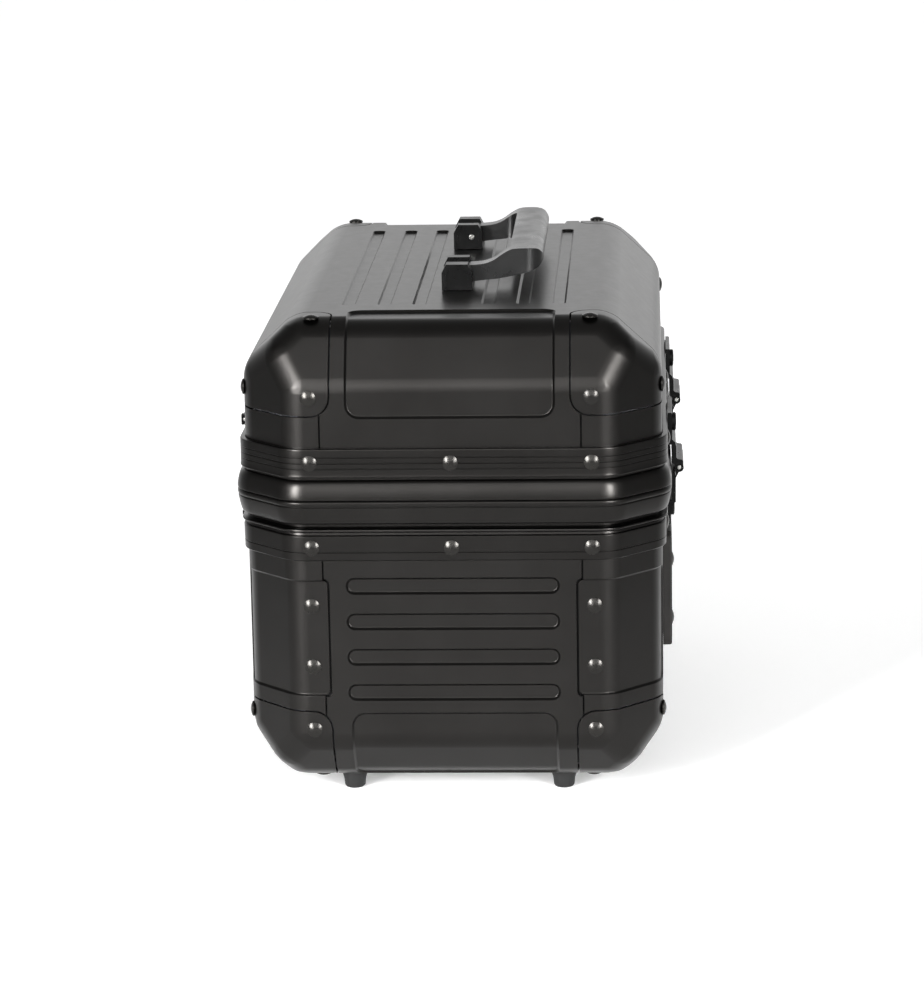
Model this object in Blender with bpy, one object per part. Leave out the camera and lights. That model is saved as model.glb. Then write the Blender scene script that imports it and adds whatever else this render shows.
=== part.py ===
"""Small upright case in riveted aluminium sheet, with a hinged lid, two hasp locks and a folding handle.

The case stands on its feet at z = 0. X runs along the length, -Y is the front with the locks and +Y is the
rear with the hinges. The skins are bent sheets with 45 degree corners, closed at the corners by riveted caps.
Two extruded frames meet at the seam and carry the hinges, the locks and the edges of the skins.
"""

import math

import bmesh
import bpy
from mathutils import Matrix, Vector

# Overall sizes, in metres
LENGTH = 0.360              # between the flat end faces
WIDTH = 0.222               # between the flat long sides
BODY_BOTTOM = 0.010         # underside of the body, which is the height of the feet
SEAM = 0.169                # where lid and body meet
LID_TOP = 0.262             # flat top of the lid

# Sheet metal
SHEET = 0.0024              # skin with its backing
BEND = 0.010                # outside radius of every bend
CORNER = 0.027              # leg of the 45 degree corners in plan
BODY_END_RISE = 0.0246      # sloped foot of the end walls
BODY_END_RUN = 0.020
BODY_SIDE_RISE = 0.0255     # sloped foot of the long walls
BODY_SIDE_RUN = 0.0215
LID_END_RISE = 0.032        # sloped shoulder of the lid's end walls
LID_END_RUN = 0.018
LID_SIDE_RISE = 0.0255      # sloped shoulder of the lid's long walls
LID_SIDE_RUN = 0.0275
FIT = 0.0003                # between pieces that touch
JOINT = 0.0009              # open joint between two sheets
PRESS = 0.0015              # depth of the pressed channels and beads
PAD_PRESS = 0.0010          # depth of the pressed corner pads

# Frames at the seam
BAND_PROUD = 0.0019         # how far the body's riveted band stands off the skin
LID_BAND_PROUD = 0.0029     # and the lid's
BELT_PROUD = 0.0050         # how far the frames bulge at the seam
BODY_BAND_LOW = 0.0329      # lower edge of the body band, below the seam
BODY_BAND_HIGH = 0.0190
LID_BAND_LOW = 0.0123       # lower edge of the lid band, above the seam
LID_BAND_HIGH = 0.0276
FRAME_DEPTH = 0.0048        # how far the frames reach inwards from the skin's face
TONGUE = 0.0019             # height of the sealing tongue over the seam

# Joints, caps and pads
JOINT_INSET = 0.042         # from the long walls to the open joints beside the end panels
END_PANEL = WIDTH - 2 * JOINT_INSET
BODY_CAP_TOP = 0.0525
LID_CAP_BOTTOM = 0.214
CAP_INNER_BODY = WIDTH / 2 - 0.0453     # inner edge of the caps from the middle plane
CAP_INNER_LID = WIDTH / 2 - 0.0475
CAP_REACH = 0.039           # how far the caps reach back from the end faces
CAP_ROUND = 0.010
PAD_LOW = 0.0608
PAD_HIGH = 0.1258
PAN_WIDTH = END_PANEL - 0.027
PAN_ROUND = 0.008
LID_PAN_BOTTOM = 0.2124
PAN_TOP_REACH = 0.044       # how far the lid's end pans run over onto the top
BEAD_COUNT = 4
BEAD_WIDTH = END_PANEL - 0.024
BEAD_HEIGHT = 0.0100
BEAD_PITCH = 0.0195
BEAD_LOWEST = 0.0633
CHANNEL_WIDTH = 0.0082
CHANNEL_PLACES = (0.0184, 0.0372, 0.0564)
CHANNEL_END = 0.058         # from the end faces to the ends of the channels

# Rivets and feet
RIVET_RADIUS = 0.00415
RIVET_HEIGHT = 0.0016
RIVET_SINK = 0.0004
END_RIVET_Y = WIDTH / 2 - 0.036         # rivets of the body's caps and pads on the ends
FLAT_RIVET_Y = WIDTH / 2 - 0.0376       # rivets of the caps on the flat top and underside
BAND_RIVET_Y = WIDTH / 2 - 0.037        # outer rivets of the bands and lid caps on the ends
BAND_RIVETS_X = (0.0, 0.035, 0.125)
POST_RIVETS_Z = (0.0774, 0.1107)
FOOT_TOP_RADIUS = 0.0068
FOOT_TIP_RADIUS = 0.0055
FOOT_INSET_X = 0.035        # from the end faces
FOOT_Y = WIDTH / 2 - 0.054

# Inner pieces
STRIP = 0.0012              # thickness of the strips behind the joints
STRIP_WIDTH = 0.022
LINING = 0.0020
PLATE = 0.0012              # plates under the handle brackets

# Rear hinges
HINGE_X = 0.088
HINGE_WIDTH = 0.040
KNUCKLE = 0.0138            # length of the middle knuckle
BARREL_RADIUS = 0.0024
HINGE_PIN_RADIUS = 0.0012
HINGE_OUT = 0.0094          # pin axis, out from the skin's face
HINGE_DROP = 0.0005         # pin axis, below the seam
LEAF = 0.0024
LEAF_TOP = 0.030            # upper leaf's top, above the seam
LEAF_BOTTOM = 0.032         # lower leaf's bottom, below the seam
SCREW_RADIUS = 0.0050

# Hasp locks
LOCK_X = 0.070
LOCK_WIDTH = 0.044
LOCK_LOW = 0.057            # lower end of the lock, below the seam
LOCK_THICK = 0.0028
HASP_WIDTH = 0.024
HASP_THICK = 0.0020
HASP_PIN_RADIUS = 0.0010
HASP_BARREL = 0.0020
HASP_PIN_UP = 0.023         # hasp pin, above the seam
HASP_END = 0.033            # free end of the hasp, below the seam
STAPLE_DOWN = 0.0255        # staple, below the seam
BUTTON_LENGTH = 0.012
BUTTON_TRAVEL = 0.005
KEYWAY_RADIUS = 0.0042

# Strap on the rear wall
STRAP_LENGTH = 0.175
STRAP_LOW = 0.0616
STRAP_HIGH = 0.1269
STRAP_THICK = 0.0050

# Handle
BRACKET_IN = 0.051          # inner face of a bracket from the middle
BRACKET_OUT = 0.082
BRACKET_HALF = 0.0083       # half its depth front to back
BRACKET_TOP_HALF = 0.0059
BRACKET_HEIGHT = 0.0146
BRACKET_SHOULDER = 0.0100
BRACKET_BASE = 0.0016
SLOT_IN = 0.058             # the slot between a bracket's ears
SLOT_OUT = 0.073
HANDLE_PIN_RADIUS = 0.0015
HANDLE_PIN_Y = 0.002
HANDLE_PIN_UP = 0.0074      # above the lid's top
ARM_CLEAR = 0.0010          # beside the arms in their slots
ARM_WIDTH = 0.0115
ARM_RADIUS = 0.0051
GRIP_NEAR = 0.028
GRIP_FAR = 0.047
GRIP_LOW = 0.0085           # underside of the grip, above the lid's top
GRIP_HIGH = 0.0215
HANDLE_ROUND = 0.010
GRIP_CHAMFER = 0.004
EXTRA = 0.002               # what a blank is larger than the piece cut from it

HALF_X = LENGTH / 2
HALF_Y = WIDTH / 2
BODY_BAND_BOTTOM = SEAM - BODY_BAND_LOW
BODY_BAND_TOP = SEAM - BODY_BAND_HIGH
LID_BAND_BOTTOM = SEAM + LID_BAND_LOW
LID_BAND_TOP = SEAM + LID_BAND_HIGH
BODY_SKIN_TOP = BODY_BAND_TOP + FIT
LID_SKIN_BOTTOM = LID_BAND_BOTTOM + 0.0013
FAR = 0.5                   # larger than the case, for cutters that run through


# ---------------------------------------------------------------- scene, materials and small tools

def clear_scene():
    for item in list(bpy.data.objects):
        bpy.data.objects.remove(item, do_unlink=True)


def new_collection(name):
    collection = bpy.data.collections.new(name)
    bpy.context.scene.collection.children.link(collection)
    return collection


def new_material(name, colour, roughness, metallic):
    material = bpy.data.materials.new(name)
    material.use_nodes = True
    shader = material.node_tree.nodes["Principled BSDF"]
    shader.inputs["Base Color"].default_value = (*colour, 1.0)
    shader.inputs["Roughness"].default_value = roughness
    shader.inputs["Metallic"].default_value = metallic
    return material


def object_from(bm, name):
    mesh = bpy.data.meshes.new(name)
    bmesh.ops.recalc_face_normals(bm, faces=bm.faces)
    bm.to_mesh(mesh)
    bm.free()
    made = bpy.data.objects.new(name, mesh)
    WORK.objects.link(made)
    return made


def copy_of(source, name):
    made = source.copy()
    made.data = source.data.copy()
    made.name = name
    WORK.objects.link(made)
    return made


def bake(target):
    """Puts a target's modifiers into its mesh."""
    graph = bpy.context.evaluated_depsgraph_get()
    mesh = bpy.data.meshes.new_from_object(target.evaluated_get(graph))
    target.modifiers.clear()
    target.data = mesh


def combine(target, tool, operation, keep=False):
    """Joins, cuts or keeps the common part of two solids. The tool is used up unless it is kept."""
    modifier = target.modifiers.new(operation.lower(), "BOOLEAN")
    modifier.operation = operation
    modifier.solver = "EXACT"
    modifier.object = tool
    bake(target)
    if not keep:
        bpy.data.objects.remove(tool, do_unlink=True)
    return target


def cut(target, tool, keep=False):
    return combine(target, tool, "DIFFERENCE", keep)


def join(target, tool):
    return combine(target, tool, "UNION")


def common(target, tool, keep=False):
    return combine(target, tool, "INTERSECT", keep)


def block(low, high, radius=0.0, along=None, segments=3):
    """A box between two corners. Its edges are rounded, all of them or only those along one axis."""
    low = Vector(low)
    high = Vector(high)
    size = high - low
    bm = bmesh.new()
    place = Matrix.Translation((low + high) / 2) @ Matrix.Diagonal((*size, 1.0))
    bmesh.ops.create_cube(bm, size=1.0, matrix=place)
    if radius:
        edges = bm.edges[:]
        if along is not None:
            edges = [e for e in edges if abs((e.verts[0].co - e.verts[1].co)[along]) > 1e-7]
        bmesh.ops.bevel(bm, geom=edges, offset=radius, segments=segments, profile=0.5, affect="EDGES")
    return object_from(bm, "block")


def turned(centre, direction, length, radius, far_radius=None, sides=16):
    """A cylinder or cone that starts at a point and runs along a direction."""
    direction = Vector(direction).normalized()
    turn = direction.to_track_quat("Z", "Y").to_matrix().to_4x4()
    place = Matrix.Translation(Vector(centre) + direction * length / 2) @ turn
    bm = bmesh.new()
    bmesh.ops.create_cone(bm, cap_ends=True, segments=sides, radius1=radius,
                          radius2=radius if far_radius is None else far_radius,
                          depth=length, matrix=place)
    return object_from(bm, "turned")


def prism(points, x_low, x_high):
    """A flat outline in the YZ plane, extruded from one X to another."""
    curve = bpy.data.curves.new("outline", "CURVE")
    curve.dimensions = "2D"
    curve.fill_mode = "BOTH"
    curve.extrude = (x_high - x_low) / 2
    spline = curve.splines.new("POLY")
    spline.points.add(len(points) - 1)
    for point, (y, z) in zip(spline.points, points):
        point.co = (y, z, 0.0, 1.0)
    spline.use_cyclic_u = True
    guide = bpy.data.objects.new("outline", curve)
    WORK.objects.link(guide)
    axes = Matrix(((0, 0, 1, (x_low + x_high) / 2), (1, 0, 0, 0), (0, 1, 0, 0), (0, 0, 0, 1)))
    return mesh_of_curve(guide, axes)


def mesh_of_curve(guide, axes):
    bpy.context.view_layer.update()
    graph = bpy.context.evaluated_depsgraph_get()
    mesh = bpy.data.meshes.new_from_object(guide.evaluated_get(graph))
    bm = bmesh.new()
    bm.from_mesh(mesh)
    bmesh.ops.remove_doubles(bm, verts=bm.verts, dist=0.00001)
    bmesh.ops.transform(bm, matrix=axes, verts=bm.verts)
    curve = guide.data
    bpy.data.objects.remove(guide, do_unlink=True)
    bpy.data.curves.remove(curve)
    bpy.data.meshes.remove(mesh)
    return object_from(bm, "swept")


def mirrored(source, axis):
    """A copy on the other side of the middle plane across an axis."""
    made = copy_of(source, source.name)
    flip = Matrix.Identity(4)
    flip[axis][axis] = -1.0
    made.data.transform(flip)
    made.data.flip_normals()
    return made


def finish(target, name, material, axis=None):
    """Names a finished piece, gives it its material and hangs it on its joint's axis."""
    target.name = name
    target.data.name = name
    target.data.materials.clear()
    target.data.materials.append(material)
    target.data.shade_smooth()
    target.data.set_sharp_from_angle(angle=math.radians(30))
    WORK.objects.unlink(target)
    PARTS.objects.link(target)
    if axis is not None:
        target.parent = axis
        target.matrix_parent_inverse = axis.matrix_world.inverted()
    return target


def axis_empty(name, place, parent=None):
    empty = bpy.data.objects.new(name, None)
    empty.empty_display_size = 0.02
    empty.location = place
    PARTS.objects.link(empty)
    bpy.context.view_layer.update()
    if parent is not None:
        empty.parent = parent
        empty.matrix_parent_inverse = parent.matrix_world.inverted()
        bpy.context.view_layer.update()
    return empty


# ---------------------------------------------------------------- forms of the sheet metal

def cut_plane(bm, point, normal):
    """Cuts off what lies beyond a plane and closes the cut."""
    bmesh.ops.bisect_plane(bm, geom=bm.verts[:] + bm.edges[:] + bm.faces[:], dist=1e-7,
                           plane_co=point, plane_no=normal, clear_outer=True)
    rim = [e for e in bm.edges if e.is_boundary]
    if rim:
        bmesh.ops.edgeloop_fill(bm, edges=rim)


def bent_form(radius, flat, open_end, end_slope, side_slope):
    """The solid inside a bent skin: flat walls, 45 degree corners, sloped ends and rounded bends.

    A small skeleton lies one bend radius inside the outer faces. A ball at each of its corners and a hull
    round them give the form, so the outer and inner faces of a skin share the centres of their bends.
    """
    out = 1.0 if flat > open_end else -1.0
    bm = bmesh.new()
    near = min(open_end, flat - out * BEND)
    far = max(open_end, flat - out * BEND)
    size = (LENGTH - 2 * BEND, WIDTH - 2 * BEND, far - near)
    place = Matrix.Translation((0, 0, (near + far) / 2)) @ Matrix.Diagonal((*size, 1.0))
    bmesh.ops.create_cube(bm, size=1.0, matrix=place)
    planes = []
    for sx in (-1, 1):
        planes.append(((sx * HALF_X, 0, flat - out * end_slope[0]), (sx * end_slope[0], 0, out * end_slope[1])))
        for sy in (-1, 1):
            planes.append(((sx * HALF_X, sy * (HALF_Y - CORNER), 0), (sx, sy, 0)))
    for sy in (-1, 1):
        planes.append(((0, sy * HALF_Y, flat - out * side_slope[0]),
                       (0, sy * side_slope[0], out * side_slope[1])))
    for point, normal in planes:
        normal = Vector(normal).normalized()
        cut_plane(bm, Vector(point) - normal * BEND, normal)
    corners = [v.co.copy() for v in bm.verts]
    bm.clear()
    for corner in corners:
        bmesh.ops.create_uvsphere(bm, u_segments=16, v_segments=8, radius=radius,
                                  matrix=Matrix.Translation(corner))
    points = [v.co.copy() for v in bm.verts]
    bm.clear()
    for point in points:
        bm.verts.new(point)
    bmesh.ops.remove_doubles(bm, verts=bm.verts, dist=1e-6)
    bmesh.ops.convex_hull(bm, input=bm.verts)
    bmesh.ops.delete(bm, geom=[v for v in bm.verts if not v.link_faces], context="VERTS")
    bmesh.ops.dissolve_limit(bm, angle_limit=math.radians(0.4), verts=bm.verts, edges=bm.edges)
    return object_from(bm, "form")


def body_form(depth):
    """The body's solid, its faces a depth inside the skin's outer face."""
    return bent_form(BEND - depth, BODY_BOTTOM, LID_TOP,
                     (BODY_END_RISE, BODY_END_RUN), (BODY_SIDE_RISE, BODY_SIDE_RUN))


def lid_form(depth):
    return bent_form(BEND - depth, LID_TOP, BODY_BOTTOM,
                     (LID_END_RISE, LID_END_RUN), (LID_SIDE_RISE, LID_SIDE_RUN))


def shell(form, outer_depth, inner_depth):
    return cut(form(outer_depth), form(inner_depth))


def plan_outline():
    """The skin's outline in plan, with two chords on each rounded bend."""
    inner_x = HALF_X - BEND
    inner_y = HALF_Y - BEND
    leg = CORNER - BEND * (2 - math.sqrt(2))
    centres = []
    for sx, sy, first in ((1, -1, -90), (1, 1, 0), (-1, 1, 90), (-1, -1, 180)):
        end_first = (sx * inner_x, sy * (inner_y - leg))
        side_first = (sx * (inner_x - leg), sy * inner_y)
        pair = (side_first, end_first) if sx * sy < 0 else (end_first, side_first)
        centres.append((pair[0], first))
        centres.append((pair[1], first + 45))
    points = []
    for (cx, cy), start in centres:
        for step in range(3):
            angle = math.radians(start + 22.5 * step)
            points.append((cx + BEND * math.cos(angle), cy + BEND * math.sin(angle)))
    return points


def ring(profile):
    """A profile of (outwards, up) points, swept round the skin's outline."""
    section = bpy.data.curves.new("section", "CURVE")
    section.dimensions = "2D"
    spline = section.splines.new("POLY")
    spline.points.add(len(profile) - 1)
    for point, (out, up) in zip(spline.points, profile):
        point.co = (out, up, 0.0, 1.0)
    spline.use_cyclic_u = True
    section_object = bpy.data.objects.new("section", section)
    WORK.objects.link(section_object)
    path = bpy.data.curves.new("path", "CURVE")
    path.dimensions = "3D"
    path.twist_mode = "Z_UP"
    path.bevel_mode = "OBJECT"
    path.bevel_object = section_object
    outline = plan_outline()
    spline = path.splines.new("POLY")
    spline.points.add(len(outline) - 1)
    for point, (x, y) in zip(spline.points, outline):
        point.co = (x, y, 0.0, 1.0)
    spline.use_cyclic_u = True
    guide = bpy.data.objects.new("path", path)
    WORK.objects.link(guide)
    made = mesh_of_curve(guide, Matrix.Identity(4))
    bpy.data.objects.remove(section_object, do_unlink=True)
    bpy.data.curves.remove(section)
    return made


def rivet(place, direction, radius=RIVET_RADIUS):
    """A domed rivet head on a surface point, sunk a little so that it joins the sheet."""
    direction = Vector(direction)
    foot = Vector(place) - direction * RIVET_SINK
    return turned(foot, direction, RIVET_HEIGHT + RIVET_SINK, radius, radius * 0.5, sides=10)


def add_rivets(target, places):
    for place, direction in places:
        join(target, rivet(place, direction))
    return target


def mirrored_places(x, y, z, direction):
    """The same rivet on all four corners of the case."""
    dx, dy, dz = direction
    return [((sx * x, sy * y, z), (sx * dx, sy * dy, dz)) for sx in (-1, 1) for sy in (-1, 1)]


# ---------------------------------------------------------------- body

def cap_region(side_x, side_y, inner, low, high, grow=0.0):
    """The space of one corner cap, with rounded corners. It is grown to cut the sheets round it."""
    x_near = HALF_X - CAP_REACH - grow
    corner_a = (side_x * x_near, side_y * (inner - grow), low - grow)
    corner_b = (side_x * (HALF_X + FAR), side_y * (HALF_Y + FAR), high + grow)
    low_corner = [min(a, b) for a, b in zip(corner_a, corner_b)]
    high_corner = [max(a, b) for a, b in zip(corner_a, corner_b)]
    return block(low_corner, high_corner, CAP_ROUND + grow)


def body_cap_region(side_x, side_y, grow=0.0):
    return cap_region(side_x, side_y, CAP_INNER_BODY, -FAR, BODY_CAP_TOP, grow)


def lid_cap_region(side_x, side_y, grow=0.0):
    return cap_region(side_x, side_y, CAP_INNER_LID, LID_CAP_BOTTOM, FAR, grow)


CORNERS = (("front_left", -1, -1), ("front_right", 1, -1), ("rear_left", -1, 1), ("rear_right", 1, 1))
SIDES = (("left", -1), ("right", 1))


def make_body_end(side, name, skin):
    half = END_PANEL / 2 - JOINT
    flange = HALF_X - CAP_REACH + 0.009
    near = flange + JOINT
    region = block((near, -half, -FAR), (FAR, half, BODY_SKIN_TOP))
    panel = common(copy_of(skin, "panel"), region)
    for sy in (-1, 1):
        cut(panel, body_cap_region(1, sy, JOINT))
    for sy in (-1, 1):
        notch_y = END_PANEL / 2 - 0.0035
        cut(panel, block((near, min(sy * notch_y, sy * FAR), PAD_LOW),
                         (FAR, max(sy * notch_y, sy * FAR), PAD_HIGH)))
    for index in range(BEAD_COUNT):
        middle = BEAD_LOWEST + index * BEAD_PITCH
        bead = block((HALF_X - PRESS, -BEAD_WIDTH / 2, middle - BEAD_HEIGHT / 2),
                     (FAR, BEAD_WIDTH / 2, middle + BEAD_HEIGHT / 2), BEAD_HEIGHT * 0.49, along=0)
        cut(panel, bead)
    pan = block((near + 0.006, -PAN_WIDTH / 2, -FAR), (FAR, PAN_WIDTH / 2, BODY_CAP_TOP), PAN_ROUND)
    cut(pan, body_form(PRESS))
    cut(panel, pan)
    if side < 0:
        panel = replace_by_mirror(panel, 0)
    return finish(panel, name, ANODISED)


def replace_by_mirror(source, axis):
    made = mirrored(source, axis)
    bpy.data.objects.remove(source, do_unlink=True)
    return made


def make_body_skins():
    skin = shell(body_form, 0.0, SHEET)
    for word, side in SIDES:
        make_body_end(side, "body_end_panel_" + word, skin)
    for word, sx, sy in CORNERS:
        cap = common(copy_of(skin, "cap"), body_cap_region(sx, sy))
        end_rivet = ((sx * HALF_X, sy * END_RIVET_Y, 0.0428), (sx, 0, 0))
        side_rivet = ((sx * (HALF_X - 0.0325), sy * HALF_Y, 0.0450), (0, sy, 0))
        under_rivet = ((sx * (HALF_X - 0.0295), sy * FLAT_RIVET_Y, BODY_BOTTOM), (0, 0, -1))
        add_rivets(cap, (end_rivet, side_rivet, under_rivet))
        finish(cap, "body_corner_cap_" + word, ANODISED)
    cut(skin, block((-FAR, -FAR, BODY_SKIN_TOP), (FAR, FAR, FAR)))
    flange = HALF_X - CAP_REACH + 0.009
    half = END_PANEL / 2
    for word, side in SIDES:
        low, high = sorted((side * flange, side * FAR))
        cut(skin, block((low, -half, -FAR), (high, half, FAR)))
    for word, sx, sy in CORNERS:
        cut(skin, body_cap_region(sx, sy, JOINT))
        near = (sx * (HALF_X - CORNER - 0.006), sy * (half - 0.002), PAD_LOW)
        far = (sx * FAR, sy * FAR, PAD_HIGH)
        pad = block([min(a, b) for a, b in zip(near, far)], [max(a, b) for a, b in zip(near, far)])
        cut(pad, body_form(PAD_PRESS))
        cut(skin, pad)
    for height in POST_RIVETS_Z:
        add_rivets(skin, mirrored_places(HALF_X - PAD_PRESS, END_RIVET_Y, height, (1, 0, 0)))
    finish(skin, "body_wrap_sheet", ANODISED)


def band_rivets(height, proud):
    out_x = HALF_X + proud
    out_y = HALF_Y + proud
    places = []
    for side in (-1, 1):
        for y in (-BAND_RIVET_Y, 0.0, BAND_RIVET_Y):
            places.append(((side * out_x, y, height), (side, 0, 0)))
        for x in BAND_RIVETS_X:
            places.append(((x, side * out_y, height), (0, side, 0)))
            if x:
                places.append(((-x, side * out_y, height), (0, side, 0)))
    return places


def make_body_frame():
    face = SEAM - FIT / 2
    tongue_out = -0.0012
    tongue_in = -0.0026
    profile = [
        (FIT, BODY_BAND_BOTTOM), (BAND_PROUD, BODY_BAND_BOTTOM), (BAND_PROUD, BODY_BAND_TOP),
        (BAND_PROUD - 0.0010, BODY_BAND_TOP + 0.0003), (BAND_PROUD - 0.0010, BODY_BAND_TOP + 0.0012),
        (BELT_PROUD - 0.0026, BODY_BAND_TOP + 0.0014), (BELT_PROUD - 0.0024, SEAM - 0.0138),
        (BELT_PROUD - 0.0015, SEAM - 0.0100), (BELT_PROUD - 0.0005, SEAM - 0.0060),
        (BELT_PROUD, SEAM - 0.0025), (BELT_PROUD, face),
        (tongue_out, face), (tongue_out, SEAM + TONGUE), (tongue_in, SEAM + TONGUE), (tongue_in, face),
        (-FRAME_DEPTH, face), (-FRAME_DEPTH, BODY_SKIN_TOP + FIT), (FIT, BODY_SKIN_TOP + FIT),
    ]
    frame = ring(profile)
    add_rivets(frame, band_rivets(BODY_BAND_BOTTOM + 0.0071, BAND_PROUD))
    finish(frame, "body_frame", ANODISED)


def make_joint_strips(prefix, low, high, form, axis):
    """Strips on the inner side of the skin, behind the open joints beside the end panels."""
    depth = SHEET + FIT
    source = shell(form, depth, depth + STRIP)
    for word, sx, sy in CORNERS:
        near = (sx * (HALF_X - 0.020), sy * (END_PANEL - STRIP_WIDTH) / 2, low)
        far = (sx * FAR, sy * (END_PANEL + STRIP_WIDTH) / 2, high)
        region = block([min(a, b) for a, b in zip(near, far)], [max(a, b) for a, b in zip(near, far)])
        strip = common(copy_of(source, "strip"), region)
        finish(strip, prefix + "_joint_strip_" + word, BACKING, axis)
    bpy.data.objects.remove(source, do_unlink=True)


def make_lining(name, form, low, high, axis=None):
    depth = SHEET + STRIP + 2 * FIT
    lining = shell(form, depth, depth + LINING)
    common(lining, block((-FAR, -FAR, low), (FAR, FAR, high)))
    finish(lining, name, LINING_CLOTH, axis)


def make_feet():
    height = BODY_BOTTOM - FIT
    for word, sx, sy in CORNERS:
        place = (sx * (HALF_X - FOOT_INSET_X), sy * FOOT_Y, 0.0)
        foot = turned(place, (0, 0, 1), height, FOOT_TIP_RADIUS, FOOT_TOP_RADIUS, sides=20)
        finish(foot, "foot_" + word, RUBBER)


def make_strap():
    near = HALF_Y + FIT
    half = STRAP_LENGTH / 2
    strap = block((-half, near, STRAP_LOW), (half, near + STRAP_THICK, STRAP_HIGH), 0.0012, segments=2)
    places = []
    for side in (-1, 1):
        for height in POST_RIVETS_Z:
            places.append(((side * (half - 0.0065), near + STRAP_THICK, height), (0, 1, 0)))
    add_rivets(strap, places)
    finish(strap, "rear_strap", STRAP_LEATHER)


# ---------------------------------------------------------------- lid

def make_lid_skins(axis):
    skin = shell(lid_form, 0.0, SHEET)
    for word, sx, sy in CORNERS:
        cap = common(copy_of(skin, "cap"), lid_cap_region(sx, sy))
        top_rivet = ((sx * (HALF_X - 0.023), sy * FLAT_RIVET_Y, LID_TOP), (0, 0, 1))
        end_rivet = ((sx * HALF_X, sy * BAND_RIVET_Y, LID_CAP_BOTTOM + 0.0095), (sx, 0, 0))
        side_rivet = ((sx * (HALF_X - 0.0325), sy * HALF_Y, LID_CAP_BOTTOM + 0.0095), (0, sy, 0))
        add_rivets(cap, (top_rivet, end_rivet, side_rivet))
        finish(cap, "lid_corner_cap_" + word, ANODISED, axis)
    cut(skin, block((-FAR, -FAR, -FAR), (FAR, FAR, LID_SKIN_BOTTOM)))
    half = END_PANEL / 2
    for word, sx, sy in CORNERS:
        cut(skin, lid_cap_region(sx, sy, JOINT))
        slit_low = min(sy * half, sy * (half - JOINT))
        slit = block((min(sx * (HALF_X - 0.02), sx * FAR), slit_low, 0),
                     (max(sx * (HALF_X - 0.02), sx * FAR), slit_low + JOINT, LID_CAP_BOTTOM + CAP_ROUND))
        cut(skin, slit)
    pressed = lid_form(PRESS)
    for word, side in SIDES:
        near = side * (HALF_X - PAN_TOP_REACH)
        pan = block((min(near, side * FAR), -PAN_WIDTH / 2, LID_PAN_BOTTOM),
                    (max(near, side * FAR), PAN_WIDTH / 2, FAR), PAN_ROUND)
        cut(pan, pressed, keep=True)
        cut(skin, pan)
    for place in CHANNEL_PLACES:
        for side in (-1, 1):
            middle = side * place
            channel = block((-HALF_X + CHANNEL_END, middle - CHANNEL_WIDTH / 2, LID_TOP - PRESS),
                            (HALF_X - CHANNEL_END, middle + CHANNEL_WIDTH / 2, FAR), 0.0035, along=2)
            cut(skin, channel)
    bpy.data.objects.remove(pressed, do_unlink=True)
    finish(skin, "lid_skin", ANODISED, axis)


def make_lid_frame(axis):
    face = SEAM + FIT / 2
    groove_top = SEAM + 0.0070
    inner_top = LID_SKIN_BOTTOM - FIT
    profile = [
        (FIT, inner_top), (FIT, LID_BAND_TOP),
        (LID_BAND_PROUD, LID_BAND_TOP), (LID_BAND_PROUD, LID_BAND_BOTTOM),
        (LID_BAND_PROUD - 0.0003, LID_BAND_BOTTOM - 0.0008), (BELT_PROUD - 0.0015, SEAM + 0.0085),
        (BELT_PROUD - 0.0004, SEAM + 0.0050), (BELT_PROUD, SEAM + 0.0022), (BELT_PROUD, face),
        (-0.0009, face), (-0.0009, groove_top), (-0.0034, groove_top), (-0.0034, face),
        (-FRAME_DEPTH, face), (-FRAME_DEPTH, inner_top),
    ]
    frame = ring(profile)
    add_rivets(frame, band_rivets(LID_BAND_BOTTOM + 0.0079, LID_BAND_PROUD))
    finish(frame, "lid_frame", ANODISED, axis)
    seal_low = SEAM + TONGUE + FIT
    seal_high = groove_top - FIT
    seal = ring([(-0.0031, seal_low), (-0.0012, seal_low), (-0.0012, seal_high), (-0.0031, seal_high)])
    finish(seal, "lid_seal", RUBBER, axis)


def make_handle_mounts(lid_axis):
    top = LID_TOP + FIT
    under = LID_TOP - SHEET - FIT
    pin_z = LID_TOP + HANDLE_PIN_UP
    for word, side in SIDES:
        outline = [
            (-BRACKET_HALF, top), (BRACKET_HALF, top), (BRACKET_HALF, LID_TOP + BRACKET_SHOULDER),
            (BRACKET_TOP_HALF, LID_TOP + BRACKET_HEIGHT), (-BRACKET_TOP_HALF, LID_TOP + BRACKET_HEIGHT),
            (-BRACKET_HALF, LID_TOP + BRACKET_SHOULDER),
        ]
        low, high = sorted((side * BRACKET_IN, side * BRACKET_OUT))
        bracket = prism(outline, low, high)
        low, high = sorted((side * SLOT_IN, side * SLOT_OUT))
        cut(bracket, block((low, -FAR, top + BRACKET_BASE), (high, FAR, FAR)))
        start = side * (BRACKET_IN - 0.002)
        bore_end = SLOT_OUT + 0.0045
        bore = turned((start, HANDLE_PIN_Y, pin_z), (side, 0, 0), bore_end - BRACKET_IN + 0.002,
                      HANDLE_PIN_RADIUS + FIT)
        cut(bracket, bore)
        finish(bracket, "handle_bracket_" + word, HARDWARE, lid_axis)
        pin = turned((side * (BRACKET_IN - 0.0003), HANDLE_PIN_Y, pin_z), (side, 0, 0),
                     bore_end - BRACKET_IN - FIT, HANDLE_PIN_RADIUS)
        finish(pin, "handle_pin_" + word, PIN_STEEL, lid_axis)
        low, high = sorted((side * (BRACKET_IN - 0.004), side * (BRACKET_OUT + 0.004)))
        plate = block((low, -0.0130, under - PLATE), (high, 0.0130, under))
        finish(plate, "handle_plate_" + word, BACKING, lid_axis)


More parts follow.
